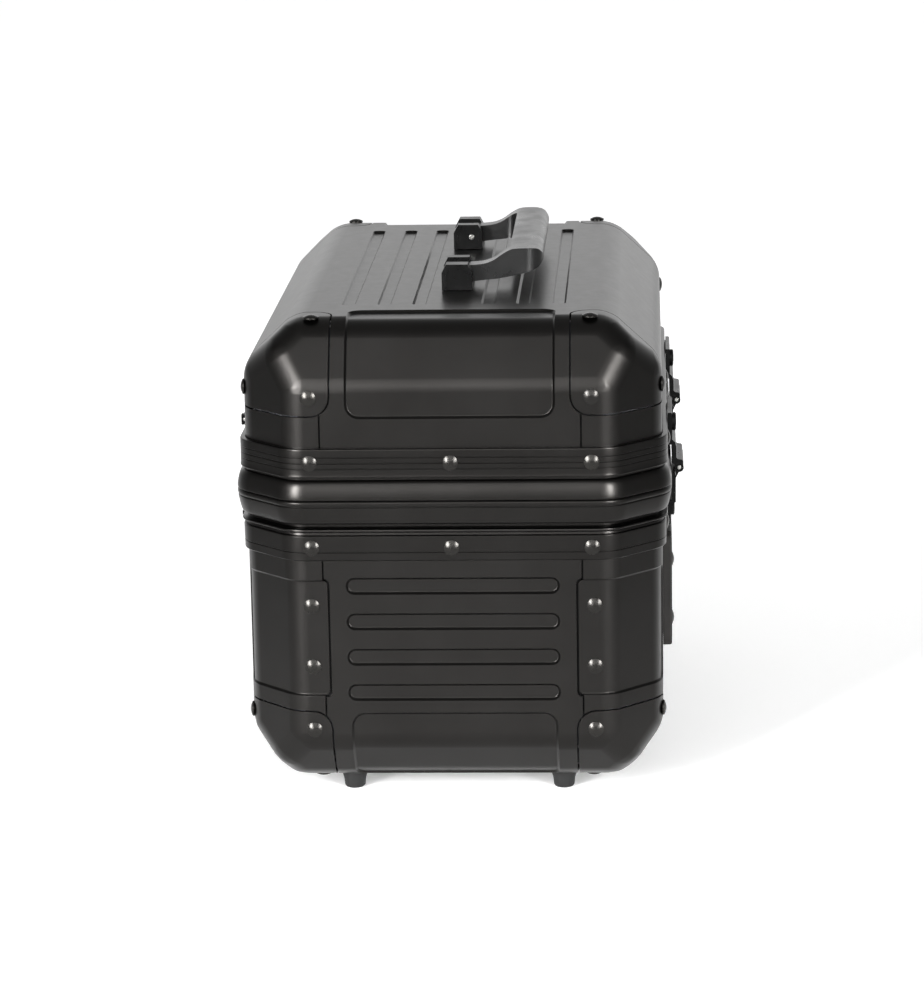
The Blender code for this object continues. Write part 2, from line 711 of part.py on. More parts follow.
def make_handle(axis):
    pin_z = LID_TOP + HANDLE_PIN_UP
    low = LID_TOP + GRIP_LOW
    high = LID_TOP + GRIP_HIGH
    outline = []
    for step in range(7):
        angle = math.radians(90 + 30 * step)
        outline.append((HANDLE_PIN_Y + ARM_RADIUS * math.cos(angle), pin_z + ARM_RADIUS * math.sin(angle)))
    outline += [
        (GRIP_NEAR + 0.0023, low - 0.0025), (GRIP_FAR - GRIP_CHAMFER, low),
        (GRIP_FAR + EXTRA, low + GRIP_CHAMFER + EXTRA), (GRIP_FAR + EXTRA, high - GRIP_CHAMFER - EXTRA),
        (GRIP_FAR - GRIP_CHAMFER, high), (GRIP_NEAR + 0.0015, high),
        (GRIP_NEAR - 0.0035, high - 0.0020), (GRIP_NEAR - 0.0120, pin_z + ARM_RADIUS + 0.0012),
    ]
    out = SLOT_OUT - ARM_CLEAR
    inner = out - ARM_WIDTH
    handle = prism(outline, -out - EXTRA, out + EXTRA)
    common(handle, block((-out, -FAR, 0), (out, GRIP_FAR, FAR), HANDLE_ROUND, along=2, segments=5))
    cut(handle, block((-inner, -FAR, 0), (inner, GRIP_NEAR, FAR), 0.006, along=2))
    for side in (-1, 1):
        bore = turned((side * (inner - 0.002), HANDLE_PIN_Y, pin_z), (side, 0, 0), ARM_WIDTH + 0.004,
                      HANDLE_PIN_RADIUS + FIT)
        cut(handle, bore)
    finish(handle, "handle", HARDWARE, axis)


# ---------------------------------------------------------------- hinges and locks

def make_hinges(lid_axis):
    pin_y = HALF_Y + HINGE_OUT
    pin_z = SEAM - HINGE_DROP
    half = HINGE_WIDTH / 2
    middle = KNUCKLE / 2
    over_belt = HALF_Y + BELT_PROUD + FIT
    over_band = HALF_Y + BAND_PROUD + FIT
    over_lid_band = HALF_Y + LID_BAND_PROUD + FIT
    knuckle_top = pin_z + BARREL_RADIUS + FIT
    for word, side in SIDES:
        x = side * HINGE_X
        leaf = block((x - half, over_lid_band, LID_BAND_BOTTOM + 0.0003),
                     (x + half, over_lid_band + LEAF, SEAM + LEAF_TOP))
        join(leaf, block((x - half, over_belt, knuckle_top),
                         (x + half, over_belt + LEAF, LID_BAND_BOTTOM + 0.0030), 0.0006, segments=1))
        join(leaf, block((x - half + 0.001, over_lid_band + 0.0002, LID_BAND_BOTTOM + 0.0006),
                         (x + half - 0.001, over_belt + LEAF - 0.001, LID_BAND_BOTTOM + 0.0025)))
        join(leaf, block((x - half, over_belt + 0.0004, knuckle_top), (x + half, pin_y + 0.0020, SEAM + 0.0040),
                         0.0005, segments=1))
        for low, high in ((-half, -middle - FIT), (middle + FIT, half)):
            join(leaf, turned((x + low, pin_y, pin_z), (1, 0, 0), high - low, BARREL_RADIUS))
            join(leaf, block((x + low, pin_y - BARREL_RADIUS, pin_z),
                             (x + high, pin_y + 0.0017, knuckle_top + 0.0008)))
        join(leaf, turned((x, over_lid_band + LEAF - 0.0004, SEAM + 0.0210), (0, 1, 0), 0.0022, SCREW_RADIUS,
                          SCREW_RADIUS * 0.55, sides=12))
        cut(leaf, turned((x - FAR / 4, pin_y, pin_z), (1, 0, 0), FAR / 2, HINGE_PIN_RADIUS + FIT))
        finish(leaf, "hinge_upper_leaf_" + word, HARDWARE, lid_axis)

        lower = block((x - half, over_band, SEAM - LEAF_BOTTOM), (x + half, over_band + LEAF, SEAM - 0.0183))
        join(lower, block((x - half, over_belt, SEAM - 0.0220), (x + half, over_belt + 0.0022, SEAM - 0.0034)))
        join(lower, block((x - half + 0.001, over_band + 0.0002, SEAM - 0.0216),
                          (x + half - 0.001, over_belt + 0.0010, SEAM - 0.0181)))
        join(lower, block((x - middle, over_belt + 0.0002, SEAM - 0.0100),
                          (x + middle, pin_y + 0.0014, SEAM - 0.0010)))
        join(lower, turned((x - middle, pin_y, pin_z), (1, 0, 0), KNUCKLE, BARREL_RADIUS))
        join(lower, turned((x, over_band + LEAF - 0.0004, SEAM - 0.0250), (0, 1, 0), 0.0022, SCREW_RADIUS,
                           SCREW_RADIUS * 0.55, sides=12))
        cut(lower, turned((x - FAR / 4, pin_y, pin_z), (1, 0, 0), FAR / 2, HINGE_PIN_RADIUS + FIT))
        finish(lower, "hinge_lower_leaf_" + word, HARDWARE)

        pin = turned((x - half + 0.0003, pin_y, pin_z), (1, 0, 0), HINGE_WIDTH - 0.0006,
                     HINGE_PIN_RADIUS, sides=12)
        finish(pin, "hinge_pin_" + word, PIN_STEEL, lid_axis)


def make_locks(lid_axis):
    over_band = HALF_Y + BAND_PROUD + FIT
    over_lid_band = HALF_Y + LID_BAND_PROUD + FIT
    over_belt = HALF_Y + BELT_PROUD + FIT
    lock_face = over_band + LOCK_THICK
    pin_y = over_belt + HASP_BARREL - 0.0004
    pin_z = SEAM + HASP_PIN_UP
    half = LOCK_WIDTH / 2
    hasp_half = HASP_WIDTH / 2
    low = SEAM - LOCK_LOW
    staple_z = SEAM - STAPLE_DOWN
    for word, side in SIDES:
        x = side * LOCK_X
        lock = block((x - half, -lock_face, low), (x + half, -over_band, BODY_BAND_TOP),
                     0.0012, along=1, segments=2)
        back = block((x - half + 0.002, -over_band - 0.0005, low + 0.002),
                     (x + half - 0.002, -HALF_Y - FIT, BODY_BAND_BOTTOM - FIT))
        join(lock, back)
        cut(lock, block((x - 0.0052, -FAR, staple_z - 0.0032), (x + 0.0052, -over_band - 0.0004, FAR)))
        button_x = x - 0.012
        button_z = low + 0.0105
        reach = (BUTTON_LENGTH + BUTTON_TRAVEL) / 2 + FIT
        cut(lock, block((button_x - reach, -FAR, button_z - 0.0043),
                        (button_x + reach, -lock_face + 0.0018, button_z + 0.0043)))
        key_x = x + 0.011
        cut(lock, turned((key_x, -lock_face + 0.0018, button_z), (0, -1, 0), 0.01, KEYWAY_RADIUS + FIT))
        finish(lock, "lock_body_" + word, HARDWARE)

        start = button_x - reach + FIT
        button_axis = axis_empty("axis_button_" + word, (start, -lock_face, button_z))
        button = block((start, -lock_face - 0.0018, button_z - 0.0040),
                       (start + BUTTON_LENGTH, -lock_face + 0.0015, button_z + 0.0040), 0.0006, segments=1)
        finish(button, "lock_button_" + word, HARDWARE, button_axis)

        key_axis = axis_empty("axis_key_" + word, (key_x, -lock_face, button_z))
        key = turned((key_x, -lock_face + 0.0015, button_z), (0, -1, 0), 0.0022, KEYWAY_RADIUS, sides=20)
        cut(key, block((key_x - 0.0004, -FAR, button_z - 0.0025),
                       (key_x + 0.0004, -lock_face + 0.0005, button_z + 0.0025)))
        finish(key, "lock_cylinder_" + word, PIN_STEEL, key_axis)

        plate = block((x - half + 0.004, -over_lid_band - 0.0014, LID_BAND_BOTTOM + 0.0003),
                      (x + half - 0.004, -over_lid_band, LID_BAND_TOP + 0.0080), 0.0020, along=1, segments=2)
        for ear in (-1, 1):
            ear_x = x + ear * (hasp_half + 0.0022)
            join(plate, block((ear_x - 0.0017, -pin_y - HASP_BARREL, pin_z - 0.0030),
                              (ear_x + 0.0017, -over_lid_band - 0.0010, pin_z + 0.0030)))
        cut(plate, turned((x - half, -pin_y, pin_z), (1, 0, 0), LOCK_WIDTH, HASP_PIN_RADIUS + FIT, sides=12))
        finish(plate, "hasp_plate_" + word, HARDWARE, lid_axis)
        pin = turned((x - hasp_half - 0.0036, -pin_y, pin_z), (1, 0, 0), HASP_WIDTH + 0.0072,
                     HASP_PIN_RADIUS, sides=12)
        finish(pin, "hasp_pin_" + word, PIN_STEEL, lid_axis)

        hasp_axis = axis_empty("axis_hasp_" + word, (x, -pin_y, pin_z), lid_axis)
        near = over_belt + 0.0001
        hasp = block((x - hasp_half, -near - HASP_THICK, SEAM - HASP_END), (x + hasp_half, -near, pin_z),
                     0.0020, along=1, segments=2)
        join(hasp, turned((x - hasp_half, -pin_y, pin_z), (1, 0, 0), HASP_WIDTH, HASP_BARREL))
        join(hasp, block((x - 0.0070, -near - HASP_THICK - 0.0034, SEAM - HASP_END),
                         (x + 0.0070, -near - HASP_THICK + 0.0004, SEAM - HASP_END + 0.0022),
                         0.0005, segments=1))
        join(hasp, block((x - 0.0040, -near - 0.0002, staple_z - 0.0012),
                         (x + 0.0040, -over_band - 0.0009, staple_z + 0.0012)))
        cut(hasp, turned((x - half, -pin_y, pin_z), (1, 0, 0), LOCK_WIDTH, HASP_PIN_RADIUS + FIT, sides=12))
        finish(hasp, "hasp_" + word, HARDWARE, hasp_axis)


# ---------------------------------------------------------------- the case

clear_scene()
PARTS = new_collection("riveted_case")
WORK = new_collection("cutters")
ANODISED = new_material("anodised_aluminium", (0.042, 0.042, 0.040), 0.42, 0.9)
HARDWARE = new_material("painted_zinc", (0.018, 0.018, 0.018), 0.40, 0.3)
PIN_STEEL = new_material("steel", (0.35, 0.35, 0.34), 0.30, 1.0)
BACKING = new_material("inner_strip", (0.010, 0.010, 0.010), 0.60, 0.2)
RUBBER = new_material("rubber", (0.012, 0.012, 0.012), 0.80, 0.0)
LINING_CLOTH = new_material("lining_cloth", (0.030, 0.030, 0.032), 0.90, 0.0)
STRAP_LEATHER = new_material("strap_leather", (0.020, 0.020, 0.020), 0.60, 0.0)

LID_AXIS = axis_empty("axis_lid", (0, HALF_Y + HINGE_OUT, SEAM - HINGE_DROP))
HANDLE_AXIS = axis_empty("axis_handle", (0, HANDLE_PIN_Y, LID_TOP + HANDLE_PIN_UP), LID_AXIS)

make_body_skins()
make_body_frame()
make_joint_strips("body", BODY_BOTTOM + 0.040, BODY_SKIN_TOP, body_form, None)
make_lining("body_lining", body_form, BODY_BOTTOM, BODY_SKIN_TOP)
make_feet()
make_strap()
make_lid_skins(LID_AXIS)
make_lid_frame(LID_AXIS)
make_joint_strips("lid", LID_SKIN_BOTTOM, LID_CAP_BOTTOM + CAP_ROUND, lid_form, LID_AXIS)
make_lining("lid_lining", lid_form, LID_SKIN_BOTTOM, LID_TOP, LID_AXIS)
make_handle_mounts(LID_AXIS)
make_handle(HANDLE_AXIS)
make_hinges(LID_AXIS)
make_locks(LID_AXIS)
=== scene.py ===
"""Looks of the riveted aluminium beauty case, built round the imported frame.

The file follows the case as it is put together: studio, body sheets, body frame, lid, handle, hinges, locks
and the soft parts. X runs along the case, -Y is the front with the locks, +Y the rear with the hinges.
"""

import math

import bmesh
import bpy
from mathutils import Matrix, Quaternion, Vector


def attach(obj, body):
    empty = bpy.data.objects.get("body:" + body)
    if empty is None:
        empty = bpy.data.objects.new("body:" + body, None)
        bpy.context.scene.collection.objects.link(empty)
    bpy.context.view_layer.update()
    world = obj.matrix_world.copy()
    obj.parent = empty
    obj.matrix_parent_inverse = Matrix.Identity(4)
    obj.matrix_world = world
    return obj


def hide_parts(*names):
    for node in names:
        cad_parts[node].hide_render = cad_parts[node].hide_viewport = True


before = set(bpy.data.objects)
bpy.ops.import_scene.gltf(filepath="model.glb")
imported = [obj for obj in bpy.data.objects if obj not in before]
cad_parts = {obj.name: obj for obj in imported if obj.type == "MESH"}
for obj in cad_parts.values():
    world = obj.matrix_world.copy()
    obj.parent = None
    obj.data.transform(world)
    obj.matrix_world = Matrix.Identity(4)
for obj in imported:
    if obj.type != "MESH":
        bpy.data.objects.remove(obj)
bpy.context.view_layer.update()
scene = bpy.context.scene


# ---------------------------------------------------------------- studio
# A white table with a painted glow and a white room with one broad soft light overhead, as for a catalogue picture.
# The camera stands at one end of the case, a little above its top, and looks along it.

def linear_colour(code):
    """An sRGB hex colour as the linear colour that shaders take."""
    levels = [int(code[i:i + 2], 16) / 255 for i in (1, 3, 5)]
    return tuple(c / 12.92 if c <= 0.04045 else ((c + 0.055) / 1.055) ** 2.4 for c in levels) + (1.0,)


def add_node(tree, kind, settings=None, **links):
    """Adds one node: settings are its properties and socket values, links are its inputs' sources."""
    node = tree.nodes.new(kind)
    for key, value in (settings or {}).items():
        if isinstance(key, str) and hasattr(node, key) and key not in node.inputs:
            setattr(node, key, value)
        else:
            node.inputs[key].default_value = value
    for name, source in links.items():
        tree.links.new(source, node.inputs[name.replace("_", " ")])
    return node


def deselect_all():
    if bpy.context.object and bpy.context.object.mode != "OBJECT":
        bpy.ops.object.mode_set(mode="OBJECT")
    bpy.ops.object.select_all(action="DESELECT")


TABLE_SIZE = 24.0
FAR_GLOW = 0.66             # painted glow: the table is no lamp, yet it shines a little itself, most behind the case
NEAR_GLOW = 0.10
deselect_all()
bpy.ops.mesh.primitive_plane_add(size=TABLE_SIZE, location=(-6.0, 0, 0))
table = bpy.context.object
table.name = "table"
bpy.ops.object.transform_apply(location=True, rotation=True, scale=True)
# Matt white paint with a painted glow: the table shines though it is no lamp.
table_paint_with_painted_glow = bpy.data.materials.new("matt_white_table_painted_glow")
table_paint_with_painted_glow.use_nodes = True
table_paint_with_painted_glow.node_tree.nodes["Principled BSDF"].inputs["Base Color"].default_value = linear_colour("#f4f4f4")
table_paint_with_painted_glow.node_tree.nodes["Principled BSDF"].inputs["Roughness"].default_value = 0.9
table_paint_with_painted_glow.node_tree.nodes["Principled BSDF"].inputs["Emission Color"].default_value = linear_colour("#ffffff")
# Painted glow: the table is no lamp, yet it glows under the case and behind it. Its glow ends aside of that, the
# further off the later, and in front of the case, so that the case's corners and ends, which mirror the table, stay
# dark.
paint = table_paint_with_painted_glow.node_tree
across_table = add_node(paint, "ShaderNodeTexCoord")
table_axes = add_node(paint, "ShaderNodeSeparateXYZ", Vector=across_table.outputs["Object"])
off_middle = add_node(paint, "ShaderNodeMath", {"operation": "ABSOLUTE"})
paint.links.new(table_axes.outputs["Y"], off_middle.inputs[0])
behind = add_node(paint, "ShaderNodeMath", {"operation": "MINIMUM", 1: 0.0})
paint.links.new(table_axes.outputs["X"], behind.inputs[0])
wider = add_node(paint, "ShaderNodeMath", {"operation": "MULTIPLY_ADD", 1: 0.16})
paint.links.new(behind.outputs["Value"], wider.inputs[0])
paint.links.new(off_middle.outputs["Value"], wider.inputs[2])
side_fade = add_node(paint, "ShaderNodeMapRange", {"interpolation_type": "SMOOTHSTEP", "From Min": 0.27,
                                                   "From Max": 0.70, "To Min": 1.0, "To Max": 0.1},
                     Value=wider.outputs["Value"])
front_fade = add_node(paint, "ShaderNodeMapRange", {"interpolation_type": "SMOOTHSTEP", "From Min": -0.90,
                                                    "From Max": 0.60, "To Min": FAR_GLOW, "To Max": NEAR_GLOW},
                      Value=table_axes.outputs["X"])
glow = add_node(paint, "ShaderNodeMath", {"operation": "MULTIPLY"})
paint.links.new(side_fade.outputs["Result"], glow.inputs[0])
paint.links.new(front_fade.outputs["Result"], glow.inputs[1])
paint.links.new(glow.outputs["Value"], paint.nodes["Principled BSDF"].inputs["Emission Strength"])
table.data.materials.append(table_paint_with_painted_glow)

world = bpy.data.worlds.new("white_room")
world.use_nodes = True
scene.world = world
room = world.node_tree
HORIZON_LIGHT = 1.28         # low over the table, towards the ends of the room
CEILING_LIGHT = 0.36
WALL_SHARE = 0.30           # what is left of it towards the dark side walls
toward = add_node(room, "ShaderNodeTexCoord")
parts = add_node(room, "ShaderNodeSeparateXYZ", Vector=toward.outputs["Generated"])
rising = add_node(room, "ShaderNodeMapRange", {"interpolation_type": "SMOOTHSTEP", "From Min": 0.22, "From Max": 0.55,
                                               "To Min": HORIZON_LIGHT, "To Max": CEILING_LIGHT},
                  Value=parts.outputs["Z"])
sideways = add_node(room, "ShaderNodeMath", {"operation": "ABSOLUTE"})
room.links.new(parts.outputs["Y"], sideways.inputs[0])
aside = add_node(room, "ShaderNodeMapRange", {"interpolation_type": "SMOOTHSTEP", "From Min": 0.3, "From Max": 0.9,
                                              "To Min": 1.0, "To Max": WALL_SHARE},
                 Value=sideways.outputs["Value"])
both = add_node(room, "ShaderNodeMath", {"operation": "MULTIPLY"})
room.links.new(rising.outputs["Result"], both.inputs[0])
room.links.new(aside.outputs["Result"], both.inputs[1])
room.links.new(both.outputs["Value"], room.nodes["Background"].inputs["Strength"])
room.nodes["Background"].inputs["Color"].default_value = linear_colour("#ffffff")


def soft_light(name, place, aim, width, height, power, spread=180):
    lamp = bpy.data.lights.new(name, "AREA")
    lamp.shape = "RECTANGLE"
    lamp.size = width
    lamp.size_y = height
    lamp.energy = power
    lamp.spread = math.radians(spread)
    holder = bpy.data.objects.new(name, lamp)
    holder.location = place
    holder.rotation_mode = "QUATERNION"
    holder.rotation_quaternion = (Vector(aim) - Vector(place)).to_track_quat("-Z", "Y")
    holder.visible_camera = False
    scene.collection.objects.link(holder)
    return holder


soft_light("front_softbox", (2.3, 0.0, 1.35), (0.15, 0, 0.2), 1.5, 1.6, 18)
soft_light("front_left_softbox", (1.85, -1.15, 0.75), (0.15, 0, 0.2), 0.45, 1.4, 9, 40)
soft_light("front_right_softbox", (1.85, 1.30, 0.75), (0.15, 0, 0.2), 0.40, 1.4, 6, 40)

CAMERA_PLACE = Vector((2.0397, 0.1026, 0.6180))
CAMERA_YAW = math.radians(2.98)
CAMERA_DIP = math.radians(13.57)
CAMERA_ROLL = math.radians(-1.01)
CAMERA_LENS = 131.4
camera_data = bpy.data.cameras.new("camera")
camera_data.lens = CAMERA_LENS
camera_data.sensor_width = 36.0
camera = bpy.data.objects.new("camera", camera_data)
looking = Vector((-math.cos(CAMERA_DIP) * math.cos(CAMERA_YAW),
                  -math.cos(CAMERA_DIP) * math.sin(CAMERA_YAW),
                  -math.sin(CAMERA_DIP)))
camera.location = CAMERA_PLACE
camera.rotation_mode = "QUATERNION"
camera.rotation_quaternion = looking.to_track_quat("-Z", "Y") @ Quaternion((0, 0, 1), CAMERA_ROLL)
scene.collection.objects.link(camera)
scene.camera = camera
scene.view_settings.view_transform = "Standard"

# ---------------------------------------------------------------- body sheets
# The body is folded from 1 mm aluminium sheet: flat walls, 45 degree corners and a sloping foot, with every
# bend at one radius. A wrap sheet makes the long walls, the bottom and the corner posts. Two end panels
# with four pressed beads and a pressed foot are set between the posts, with an open joint on both sides.

HALF_LENGTH = 0.180
HALF_WIDTH = 0.111
CORNER_LEG = 0.027          # leg of the 45 degree corners
BEND_RADIUS = 0.018
SHEET_THICKNESS = 0.0011
BODY_FLOOR = 0.010
BODY_SHEET_TOP = 0.1503
LID_ROOF = 0.262
BODY_END_SLOPE = (0.0246, 0.020)     # rise and run of the sloping foot
BODY_SIDE_SLOPE = (0.0255, 0.0215)
END_PANEL_HALF = 0.069
OPEN_JOINT = 0.0009
BEYOND = 0.45               # outside the case
CASE_MIDDLE = Vector((0, 0, 0.135))


def select_only(*pieces):
    deselect_all()
    for piece in pieces:
        piece.select_set(True)
    bpy.context.view_layer.objects.active = pieces[0]


def apply_modifiers(piece):
    select_only(piece)
    for modifier in list(piece.modifiers):
        bpy.ops.object.modifier_apply(modifier=modifier.name)


def boolean(piece, tool, operation="DIFFERENCE"):
    """Cuts or joins by an exact Boolean and uses up the tool. Faces keep their material numbers."""
    modifier = piece.modifiers.new("boolean", "BOOLEAN")
    modifier.operation = operation
    modifier.solver = "EXACT"
    modifier.material_mode = "INDEX"
    modifier.object = tool
    apply_modifiers(piece)
    bpy.data.objects.remove(tool, do_unlink=True)
    return piece


def copy_piece(piece, name):
    made = piece.copy()
    made.data = piece.data.copy()
    made.name = name
    scene.collection.objects.link(made)
    return made


def mirror_copy(piece, name, axis):
    """A copy on the other side of the case, with its own mesh."""
    made = copy_piece(piece, name)
    flip = Matrix.Identity(4)
    flip[axis][axis] = -1.0
    made.data.transform(flip)
    made.data.flip_normals()
    return made


def join_pieces(name, pieces):
    select_only(*pieces)
    if len(pieces) > 1:
        bpy.ops.object.join()
    joined = bpy.context.object
    joined.name = name
    return joined


def cube(low, high, name="block"):
    """A cube primitive between two corners, its size in its mesh."""
    low, high = [min(a, b) for a, b in zip(low, high)], [max(a, b) for a, b in zip(low, high)]
    deselect_all()
    bpy.ops.mesh.primitive_cube_add(size=1, location=[(a + b) / 2 for a, b in zip(low, high)],
                                    scale=[b - a for a, b in zip(low, high)])
    made = bpy.context.object
    made.name = name
    bpy.ops.object.transform_apply(location=True, rotation=True, scale=True)
    return made


def bevel_all(piece, width, segments):
    select_only(piece)
    bpy.ops.object.mode_set(mode="EDIT")
    bpy.ops.mesh.select_all(action="SELECT")
    bpy.ops.mesh.bevel(offset=width, segments=segments, profile=0.5, affect="EDGES", clamp_overlap=False)
    bpy.ops.object.mode_set(mode="OBJECT")
    return piece


def case_planes(flat, up, end_slope, side_slope):
    """The 45 degree corners and the four sloping planes of the lid (up 1) or the body (up -1)."""
    planes = []
    for side in (-1, 1):
        planes.append(((side * HALF_LENGTH, 0, flat - up * end_slope[0]),
                       (side * end_slope[0], 0, up * end_slope[1])))
        planes.append(((0, side * HALF_WIDTH, flat - up * side_slope[0]),
                       (0, side * side_slope[0], up * side_slope[1])))
        for other in (-1, 1):
            planes.append(((side * HALF_LENGTH, other * (HALF_WIDTH - CORNER_LEG), 0), (side, other, 0)))
    return planes


def bent_block(name, low, high, planes, depth=0.0):
    """A block cut back to the sheet's planes, its edges rounded to the bend radius. Depth sets it inside."""
    solid = cube([v + depth for v in low], [v - depth for v in high], name)
    bpy.ops.object.mode_set(mode="EDIT")
    for point, normal in planes:
        normal = Vector(normal).normalized()
        bpy.ops.mesh.select_all(action="SELECT")
        bpy.ops.mesh.bisect(plane_co=Vector(point) - normal * depth, plane_no=normal,
                            use_fill=True, clear_outer=True)
    bpy.ops.object.mode_set(mode="OBJECT")
    bm = bmesh.new()
    bm.from_mesh(solid.data)
    weights = bm.edges.layers.float.new("bevel_weight_edge")
    for edge in bm.edges:
        edge[weights] = math.tan(edge.calc_face_angle(0.0) / 2)
    bm.to_mesh(solid.data)
    bm.free()
    bend = solid.modifiers.new("bend", "BEVEL")
    bend.limit_method = "WEIGHT"
    bend.width = BEND_RADIUS - depth
    bend.segments = 8
    bend.use_clamp_overlap = False
    apply_modifiers(solid)
    return solid


def body_block(depth=0.0):
    planes = case_planes(BODY_FLOOR, -1, BODY_END_SLOPE, BODY_SIDE_SLOPE)
    return bent_block("body_block", (-HALF_LENGTH, -HALF_WIDTH, BODY_FLOOR), (HALF_LENGTH, HALF_WIDTH, 0.3),
                      planes, depth)


def folded(corners, across, along, radius=BEND_RADIUS):
    """Gives the point that lies a distance along a bent strip and a height over it.

    The strip runs through corner points in the plane of two axes and turns clockwise at each of them.
    """
    runs = []
    place = Vector(corners[0])
    for before, corner, after in zip(corners, corners[1:], corners[2:]):
        heading = (Vector(corner) - Vector(before)).normalized()
        next_heading = (Vector(after) - Vector(corner)).normalized()
        turn = math.acos(max(-1.0, min(1.0, heading.dot(next_heading))))
        tangent = radius * math.tan(turn / 2)
        length = (Vector(corner) - heading * tangent - place).length
        runs.append((length, place, heading, 0.0))
        runs.append((radius * turn, Vector(corner) - heading * tangent, heading, turn))
        place = Vector(corner) + next_heading * tangent
    heading = (Vector(corners[-1]) - place).normalized()
    runs.append((1.0, place, heading, 0.0))

    def point(distance, height):
        for length, start, direction, turned in runs:
            if distance <= length or turned == 0.0 and length == 1.0:
                break
            distance -= length
        outwards = Vector((-direction.y, direction.x))
        if turned:
            angle = distance / radius
            middle = start - outwards * radius
            flat = middle + (outwards * math.cos(angle) + direction * math.sin(angle)) * (radius + height)
        else:
            flat = start + direction * distance + outwards * height
        return flat

    def place_vertex(sideways, distance, height):
        flat = point(distance, height)
        result = Vector((0, 0, 0))
        result[across[0]] = flat.x
        result[across[1]] = flat.y
        result[along] = sideways
        return result

    bends = []
    reached = 0.0
    for length, start, direction, turned in runs:
        if turned:
            bends += [reached + length * step / 8 for step in range(9)]
        reached += length
    return place_vertex, bends


PRESS_RISE = 0.00016        # how far a press tool starts over the sheet
PRESS_STEPS = 6


def press_tool(middle, width, length, corner, depth, wall, strip):
    """A press tool with rounded corners and soft walls, laid along a bent strip."""
    place_vertex, bends = strip
    deselect_all()
    bpy.ops.mesh.primitive_plane_add(size=1, location=(middle, length / 2, PRESS_RISE))
    tool = bpy.context.object
    tool.scale = (width, length, 1)
    bpy.ops.object.transform_apply(location=True, rotation=True, scale=True)
    bpy.ops.object.mode_set(mode="EDIT")
    bpy.ops.mesh.select_all(action="SELECT")
    bpy.ops.mesh.bevel(offset=corner, segments=8, profile=0.5, affect="VERTICES", clamp_overlap=False)
    bpy.ops.mesh.select_all(action="SELECT")
    travel = depth + PRESS_RISE
    for step in range(PRESS_STEPS):
        near, far = [t * t * (3 - 2 * t) for t in (step / PRESS_STEPS, (step + 1) / PRESS_STEPS)]
        bpy.ops.mesh.inset(thickness=wall / PRESS_STEPS, depth=-travel * (far - near))
    bpy.ops.mesh.select_all(action="DESELECT")
    bpy.ops.mesh.select_non_manifold()
    bpy.ops.mesh.edge_face_add()
    for distance in bends:
        if 0.0002 < distance < length - 0.0002:
            bpy.ops.mesh.select_all(action="SELECT")
            bpy.ops.mesh.bisect(plane_co=(0, distance, 0), plane_no=(0, 1, 0))
    bpy.ops.object.mode_set(mode="OBJECT")
    for vertex in tool.data.vertices:
        vertex.co = place_vertex(*vertex.co)
    select_only(tool)
    bpy.ops.object.mode_set(mode="EDIT")
    bpy.ops.mesh.select_all(action="SELECT")
    bpy.ops.mesh.normals_make_consistent(inside=False)
    bpy.ops.object.mode_set(mode="OBJECT")
    return tool


def edge_tool(tool):
    """Marks the faces of a trimming tool: what they leave on a sheet is its raw edge, which is cut away."""
    while len(tool.data.materials) < 2:
        tool.data.materials.append(None)
    for face in tool.data.polygons:
        face.material_index = 1
    return tool


def trimmed(solid, tools, operation="DIFFERENCE"):
    """Trims a solid, and leaves only the sheet's outer face as an open surface."""
    while len(solid.data.materials) < 2:
        solid.data.materials.append(None)
    for tool in tools:
        boolean(solid, edge_tool(tool), operation)
    select_only(solid)
    bpy.ops.object.mode_set(mode="EDIT")
    bpy.ops.mesh.select_all(action="DESELECT")
    bpy.ops.mesh.select_mode(type="FACE")
    bpy.ops.object.mode_set(mode="OBJECT")
    for face in solid.data.polygons:
        face.select = face.material_index == 1
    bpy.ops.object.mode_set(mode="EDIT")
    bpy.ops.mesh.delete(type="FACE")
    bpy.ops.mesh.select_mode(type="VERT")
    bpy.ops.mesh.select_all(action="SELECT")
    bpy.ops.mesh.remove_doubles(threshold=0.00002)
    bpy.ops.mesh.normals_make_consistent(inside=False)
    bpy.ops.object.mode_set(mode="OBJECT")
    outward = sum(face.area * face.normal.dot(face.center - CASE_MIDDLE) for face in solid.data.polygons)
    if outward < 0:
        solid.data.flip_normals()
    solid.data.materials.clear()
    return solid


def smooth_finish(piece, angle=35):
    """Smooth shading that keeps large faces flat."""
    select_only(piece)
    bpy.ops.object.shade_smooth_by_angle(angle=math.radians(angle), keep_sharp_edges=False)
    weighted = piece.modifiers.new("weighted", "WEIGHTED_NORMAL")
    weighted.keep_sharp = True
    weighted.weight = 50
    apply_modifiers(piece)
    return piece


def sheet_finish(piece, thickness=SHEET_THICKNESS):
    """Gives an open surface its sheet's thickness and rounds the cut edges."""
    wall = piece.modifiers.new("thickness", "SOLIDIFY")
    wall.thickness = thickness
    wall.offset = -1.0
    wall.use_even_offset = True
    rim = piece.modifiers.new("rim", "BEVEL")
    rim.limit_method = "ANGLE"
    rim.angle_limit = math.radians(70)
    rim.width = 0.00032
    rim.segments = 2
    apply_modifiers(piece)
    return smooth_finish(piece)


def fit_piece(piece, material, slot, body, *nodes):
    """Gives a finished piece its material, its body and the CAD nodes that it stands for."""
    piece.data.materials.clear()
    piece.data.materials.append(material)
    for face in piece.data.polygons:
        face.material_index = 0
    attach(piece, body)
    if nodes:
        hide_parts(*nodes)
    return piece


